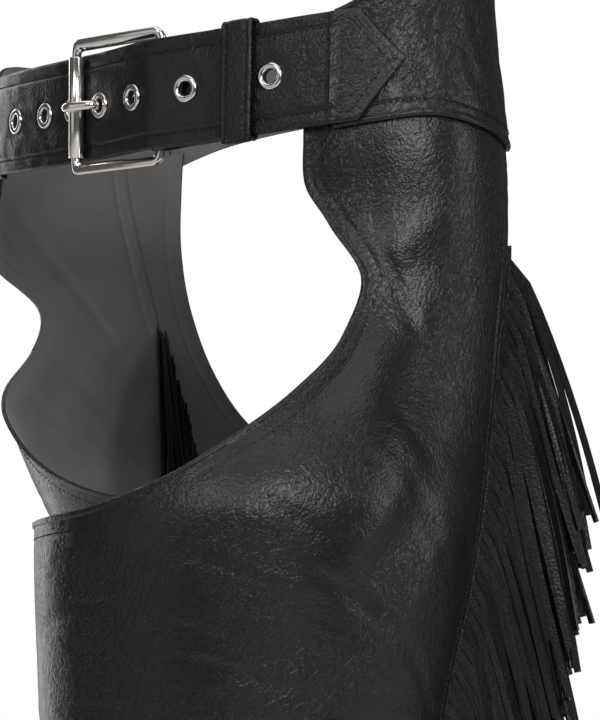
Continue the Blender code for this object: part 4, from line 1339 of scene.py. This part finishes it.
class CHAPS_OT_buckle(bpy.types.Operator):
    """Makes the buckle's frame, roller and prong"""
    bl_idname = "chaps.buckle"
    bl_label = "Buckle"

    def execute(self, context):
        metal = materials()["polished nickel"]
        self.frame(metal)
        self.roller(metal)
        self.prong(metal)
        return {"FINISHED"}

    def frame_out(self, x):
        t = (x - ROLLER_X) / (HINGE_X - ROLLER_X)
        return ROLLER_OUT + (HINGE_OUT - ROLLER_OUT) * t

    def frame(self, metal):
        corners = (
            (HINGE_X, FRAME_HALF_HEIGHT, 0), (ROLLER_X, FRAME_HALF_HEIGHT, 90),
            (ROLLER_X, -FRAME_HALF_HEIGHT, 180), (HINGE_X, -FRAME_HALF_HEIGHT, 270),
        )
        spots = []
        for x, up, start in corners:
            centre_x = x - math.copysign(FRAME_CORNER, x)
            centre_up = up - math.copysign(FRAME_CORNER, up)
            for step in range(9):
                turn = math.radians(start + 11.25 * step)
                spots.append((centre_x + FRAME_CORNER * math.cos(turn), centre_up + FRAME_CORNER * math.sin(turn)))
        points = []
        hints = []
        radii = []
        for (x0, up0), (x1, up1) in zip(spots, spots[1:] + spots[:1]):
            parts = max(1, round(math.hypot(x1 - x0, up1 - up0) / 0.002))
            for part in range(parts):
                x = x0 + (x1 - x0) * part / parts
                up = up0 + (up1 - up0) * part / parts
                level = smooth((abs(up) - FRAME_HALF_HEIGHT + FRAME_CORNER) / FRAME_CORNER)
                widen = FRAME_WIDENING * float(level)
                spot = belt_points(x, up + math.copysign(widen, up), self.frame_out(x))
                points.append(spot)
                hints.append(Vector(belt_points(x, up, self.frame_out(x) + 0.001) - spot))
                radii.append((FRAME_BAR, FRAME_BAR + widen))
        obj = bar("buckle_frame_bar", points, hints, radii, True, metal, 28)
        finish_piece(obj, "nickel", "buckle_frame")

    def roller(self, metal):
        profile = [
            (0.0027, -ROLLER_HALF_LENGTH), (ROLLER_RADIUS - 0.0003, -ROLLER_HALF_LENGTH),
            (ROLLER_RADIUS, -ROLLER_HALF_LENGTH + 0.0003), (ROLLER_RADIUS, ROLLER_HALF_LENGTH - 0.0003),
            (ROLLER_RADIUS - 0.0003, ROLLER_HALF_LENGTH), (0.0027, ROLLER_HALF_LENGTH),
        ]
        top = Vector(belt_points(ROLLER_X, FRAME_HALF_HEIGHT, ROLLER_OUT))
        foot = Vector(belt_points(ROLLER_X, -FRAME_HALF_HEIGHT, ROLLER_OUT))
        obj = turned("buckle_roller_tube", profile, 40, (top + foot) / 2, (top - foot).normalized(), metal)
        finish_piece(obj, "nickel", "buckle_roller")

    def prong(self, metal):
        turn_radius = FRAME_BAR + SEAM_GAP + PRONG_RADIUS
        route = []
        for step in range(15):
            turn = math.radians(-130 + 15 * step)
            route.append((HINGE_X + turn_radius * math.cos(turn), HINGE_OUT + turn_radius * math.sin(turn)))
        top = ROLLER_OUT + ROLLER_RADIUS + SEAM_GAP + PRONG_RADIUS
        route += [
            (0.0120, 0.0064), (PRONG_HOLE_X + 0.0040, 0.0030), (PRONG_HOLE_X + 0.0008, 0.0034),
            (PRONG_HOLE_X, 0.0054), (PRONG_HOLE_X, 0.0112), (PRONG_HOLE_X - 0.0014, 0.0134),
            (ROLLER_X + 0.0030, top), (ROLLER_X, top + 0.0001),
            (ROLLER_X - 0.0040, top - 0.0008),
        ]
        line = smoothed(np.array(route), 0.0008)
        points = [belt_points(x, 0.0, out) for x, out in line]
        past_hinge = smooth((len(points) - 20 - np.arange(len(points))[::-1]) / 16)
        radii = [(PRONG_RADIUS * (1 + 0.35 * grown), PRONG_RADIUS) for grown in past_hinge]
        for back, share in enumerate((0.35, 0.72, 0.90, 0.97)):
            radii[-1 - back] = tuple(share * radius for radius in radii[-1 - back])
        hints = [Vector((0.0, 0.0, 1.0))] * len(points)
        obj = bar("buckle_prong_bar", points, hints, radii, False, metal)
        finish_piece(obj, "nickel", "buckle_prong")


class CHAPS_OT_fringe(bpy.types.Operator):
    """Makes the fringe down both outseams: flat cut strands that arc out and hang"""
    bl_idname = "chaps.fringe"
    bl_label = "Fringe"

    def execute(self, context):
        look = context.scene.chaps_fringe
        for side in (LEFT, RIGHT):
            rng = random.Random(20 + side)
            bm = bmesh.new()
            self.strip(bm, side)
            for i in range(look.strands):
                self.strand(bm, side, i, look, rng)
            name = f"fringe_{SIDE_NAMES[side]}"
            mesh = bpy.data.meshes.new(name + "_strands")
            bm.to_mesh(mesh)
            bm.free()
            mesh.materials.append(materials()["fringe leather"])
            mesh.shade_smooth()
            mesh.set_sharp_from_angle(angle=math.radians(40))
            obj = bpy.data.objects.new(name + "_strands", mesh)
            context.scene.collection.objects.link(obj)
            finish_piece(obj, "leather", name)
        return {"FINISHED"}

    def strip(self, bm, side):
        """Backing strip that the strands are cut from"""
        heights = np.linspace(FRINGE_TOP + 0.002, FRINGE_FOOT - 0.002, 200)
        rings = []
        for height in heights:
            ring = []
            for angle, out in ((0.6, 0.0020), (0.6, 0.0034), (2.6, 0.0034), (2.6, 0.0020)):
                base, outward = leg_surface(side, OUTSEAM + angle, height)
                ring.append(bm.verts.new(base + outward * out))
            rings.append(ring)
        faces = [bm.faces.new(rings[0]), bm.faces.new(rings[-1])]
        for a, b in zip(rings, rings[1:]):
            faces += [bm.faces.new((a[j], a[(j + 1) % 4], b[(j + 1) % 4], b[j])) for j in range(4)]
        bmesh.ops.recalc_face_normals(bm, faces=faces)

    def strand(self, bm, side, i, look, rng):
        share = (i + 0.5) / look.strands
        height = FRINGE_TOP - FIRST_STRAND_DROP + (FRINGE_FOOT - FRINGE_TOP + FIRST_STRAND_DROP) * share
        layer = (i % 4) * 0.50 + 0.6
        base, outward = leg_surface(side, OUTSEAM + layer, height)
        outward = Vector(outward)
        sideways = Vector((-outward.y, outward.x, 0.0)) * side
        root = Vector(base) + outward * 0.0030
        lean = look.lean + math.radians(1.3 * math.sin(0.10 * i + 1.9 * (i % 4)) + rng.uniform(-1.1, 1.1))
        if i < 4:
            lean = math.radians(18.2 - 1.1 * i)
        length = look.length * (1 + 0.06 * math.sin(0.37 * i) + rng.uniform(-0.13, 0.10))
        length = min(length, (height - HEM_HEIGHT - 0.006) / math.cos(lean))
        drift = rng.uniform(-0.05, 0.11)
        twist = rng.uniform(-0.9, 0.9) * (1 if rng.random() < 0.5 else 0.25)
        kick = 0.0030 + rng.uniform(-0.0008, 0.0012)
        bow = rng.uniform(-0.002, 0.004)
        segments = 10
        rings = []
        previous = None
        for step in range(segments + 1):
            t = step / segments
            down = length * t
            settle = 1 - math.exp(-down / 0.006)
            out = kick * settle + math.sin(lean) * down + bow * math.sin(math.pi * t)
            drop = math.cos(lean) * down - 0.002 * settle
            spot = root + outward * out + sideways * (drift * down) - Vector((0, 0, drop))
            if previous is None:
                along = (outward - Vector((0, 0, 0.6))).normalized()
            else:
                along = (spot - previous).normalized()
            previous = spot
            thin = sideways.cross(along).cross(along).normalized()
            wide = along.cross(thin).normalized()
            turn = twist * t
            a = wide * math.cos(turn) + thin * math.sin(turn)
            b = thin * math.cos(turn) - wide * math.sin(turn)
            corners = ((1, 1), (-1, 1), (-1, -1), (1, -1))
            rings.append([
                bm.verts.new(spot + a * (u * look.width / 2) + b * (v * look.thick / 2)) for u, v in corners
            ])
        faces = [bm.faces.new(rings[0]), bm.faces.new(rings[-1])]
        for low, high in zip(rings, rings[1:]):
            faces += [bm.faces.new((low[j], low[(j + 1) % 4], high[(j + 1) % 4], high[j])) for j in range(4)]
        bmesh.ops.recalc_face_normals(bm, faces=faces)


class CHAPS_OT_stitches(bpy.types.Operator):
    """Sews every stitch line that the pieces have kept"""
    bl_idname = "chaps.stitches"
    bl_label = "Stitches"

    def execute(self, context):
        tree = stitch_tree()
        look = context.scene.chaps_stitching
        for piece, lines in STITCH_LINES.items():
            obj = stitched(piece + "_stitches", lines, tree, look, materials()["black thread"])
            finish_piece(obj, "leather")
        return {"FINISHED"}


class CHAPS_OT_stage(bpy.types.Operator):
    """Sets the pale floor, the soft lights, the world and the camera"""
    bl_idname = "chaps.stage"
    bl_label = "Stage"

    def execute(self, context):
        stage = context.scene.chaps_stage
        self.camera(context, stage)
        self.floor(context, stage)
        self.world(context)
        self.lights(context, stage)
        context.scene.view_settings.view_transform = "Standard"
        return {"FINISHED"}

    def axes(self, stage):
        right = Vector((math.cos(stage.azimuth), math.sin(stage.azimuth), 0.0))
        forward = Vector((-math.sin(stage.azimuth), math.cos(stage.azimuth), 0.0))
        return right, forward

    def camera(self, context, stage):
        right, forward = self.axes(stage)
        data = bpy.data.cameras.new("camera")
        data.lens = stage.lens
        data.sensor_fit = "VERTICAL"
        data.sensor_height = 36.0
        camera = bpy.data.objects.new("camera", data)
        camera.location = right * stage.aside - forward * stage.distance + Vector((0, 0, stage.height))
        camera.rotation_euler = (math.pi / 2, 0.0, stage.azimuth)
        context.scene.collection.objects.link(camera)
        context.scene.camera = camera

    def floor(self, context, stage):
        bpy.ops.mesh.primitive_circle_add(
            vertices=96, radius=3.2, fill_type="NGON", location=(0.0, 0.0, stage.floor))
        floor = context.object
        floor.name = "floor"
        material, tree, shader = new_material("pale floor")
        shader.inputs["Base Color"].default_value = (0.93, 0.93, 0.93, 1.0)
        shader.inputs["Roughness"].default_value = 0.9
        floor.data.materials.append(material)

    def world(self, context):
        world = bpy.data.worlds.new("studio")
        world.use_nodes = True
        tree = world.node_tree
        back = tree.nodes["Background"]
        back.inputs["Color"].default_value = (1.0, 1.0, 1.0, 1.0)
        seen = add_node(tree, "ShaderNodeLightPath")
        power = add_node(tree, "ShaderNodeMapRange", inputs={"To Min": 0.09, "To Max": 1.0})
        link_nodes(tree, (seen.outputs["Is Camera Ray"], power.inputs["Value"]),
                   (power.outputs["Result"], back.inputs["Strength"]))
        context.scene.world = world

    def lights(self, context, stage):
        """Softboxes by turn from the camera's side, height, distance, size and power"""
        boxes = (
            ("overhead", 0.0, 2.60, 0.05, (3.2, 3.2), 34.0),
            ("key", 14.0, 0.95, 1.9, (0.9, 0.8), 16.0),
            ("side", 76.0, 0.35, 1.9, (0.45, 1.2), 6.0),
            ("front", -30.0, 1.15, 1.9, (0.8, 0.7), 7.0),
            ("fill", -58.0, 0.30, 2.0, (1.2, 1.4), 2.2),
            ("rim", -142.0, 0.25, 1.7, (0.4, 1.8), 7.5),
            ("low", 20.0, -0.75, 1.9, (1.4, 0.5), 1.2),
        )
        aim = Vector((0.06, -0.04, -0.18))
        for name, turn, height, distance, size, power in boxes:
            angle = stage.azimuth + math.radians(turn)
            data = bpy.data.lights.new(name, "AREA")
            data.shape = "RECTANGLE"
            data.size, data.size_y = size
            data.energy = power
            light = bpy.data.objects.new(name, data)
            light.location = aim + Vector((math.sin(angle) * distance, -math.cos(angle) * distance, height))
            light.rotation_euler = (aim - light.location).to_track_quat("-Z", "Y").to_euler()
            context.scene.collection.objects.link(light)


class CHAPS_PT_panel(bpy.types.Panel):
    """Lists the chaps' steps in the 3D view's sidebar"""
    bl_idname = "CHAPS_PT_panel"
    bl_label = "Leather chaps"
    bl_space_type = "VIEW_3D"
    bl_region_type = "UI"
    bl_category = "Chaps"

    def draw(self, context):
        for step in STEPS:
            self.layout.operator(step.bl_idname)
        for name in GROUPS:
            settings = getattr(context.scene, name)
            for key in settings.__annotations__:
                self.layout.prop(settings, key)


STEPS = (
    CHAPS_OT_stage,
    CHAPS_OT_leg_panels,
    CHAPS_OT_yokes,
    CHAPS_OT_straps,
    CHAPS_OT_keeper,
    CHAPS_OT_eyelets,
    CHAPS_OT_buckle,
    CHAPS_OT_fringe,
    CHAPS_OT_stitches,
)
GROUPS = {
    "chaps_leather": ChapsLeather,
    "chaps_stitching": ChapsStitching,
    "chaps_fringe": ChapsFringe,
    "chaps_metal": ChapsMetal,
    "chaps_stage": ChapsStage,
}


def register():
    for group in GROUPS.values():
        bpy.utils.register_class(group)
    for step in STEPS:
        bpy.utils.register_class(step)
    bpy.utils.register_class(CHAPS_PT_panel)
    for name, group in GROUPS.items():
        setattr(bpy.types.Scene, name, PointerProperty(type=group))


def unregister():
    for name in GROUPS:
        delattr(bpy.types.Scene, name)
    bpy.utils.unregister_class(CHAPS_PT_panel)
    for step in reversed(STEPS):
        bpy.utils.unregister_class(step)
    for group in GROUPS.values():
        bpy.utils.unregister_class(group)


def main():
    register()
    bpy.ops.chaps.stage()
    bpy.ops.chaps.leg_panels()
    bpy.ops.chaps.yokes()
    bpy.ops.chaps.straps()
    bpy.ops.chaps.keeper()
    bpy.ops.chaps.eyelets()
    bpy.ops.chaps.buckle()
    bpy.ops.chaps.fringe()
    bpy.ops.chaps.stitches()


if __name__ == "__main__":
    main()
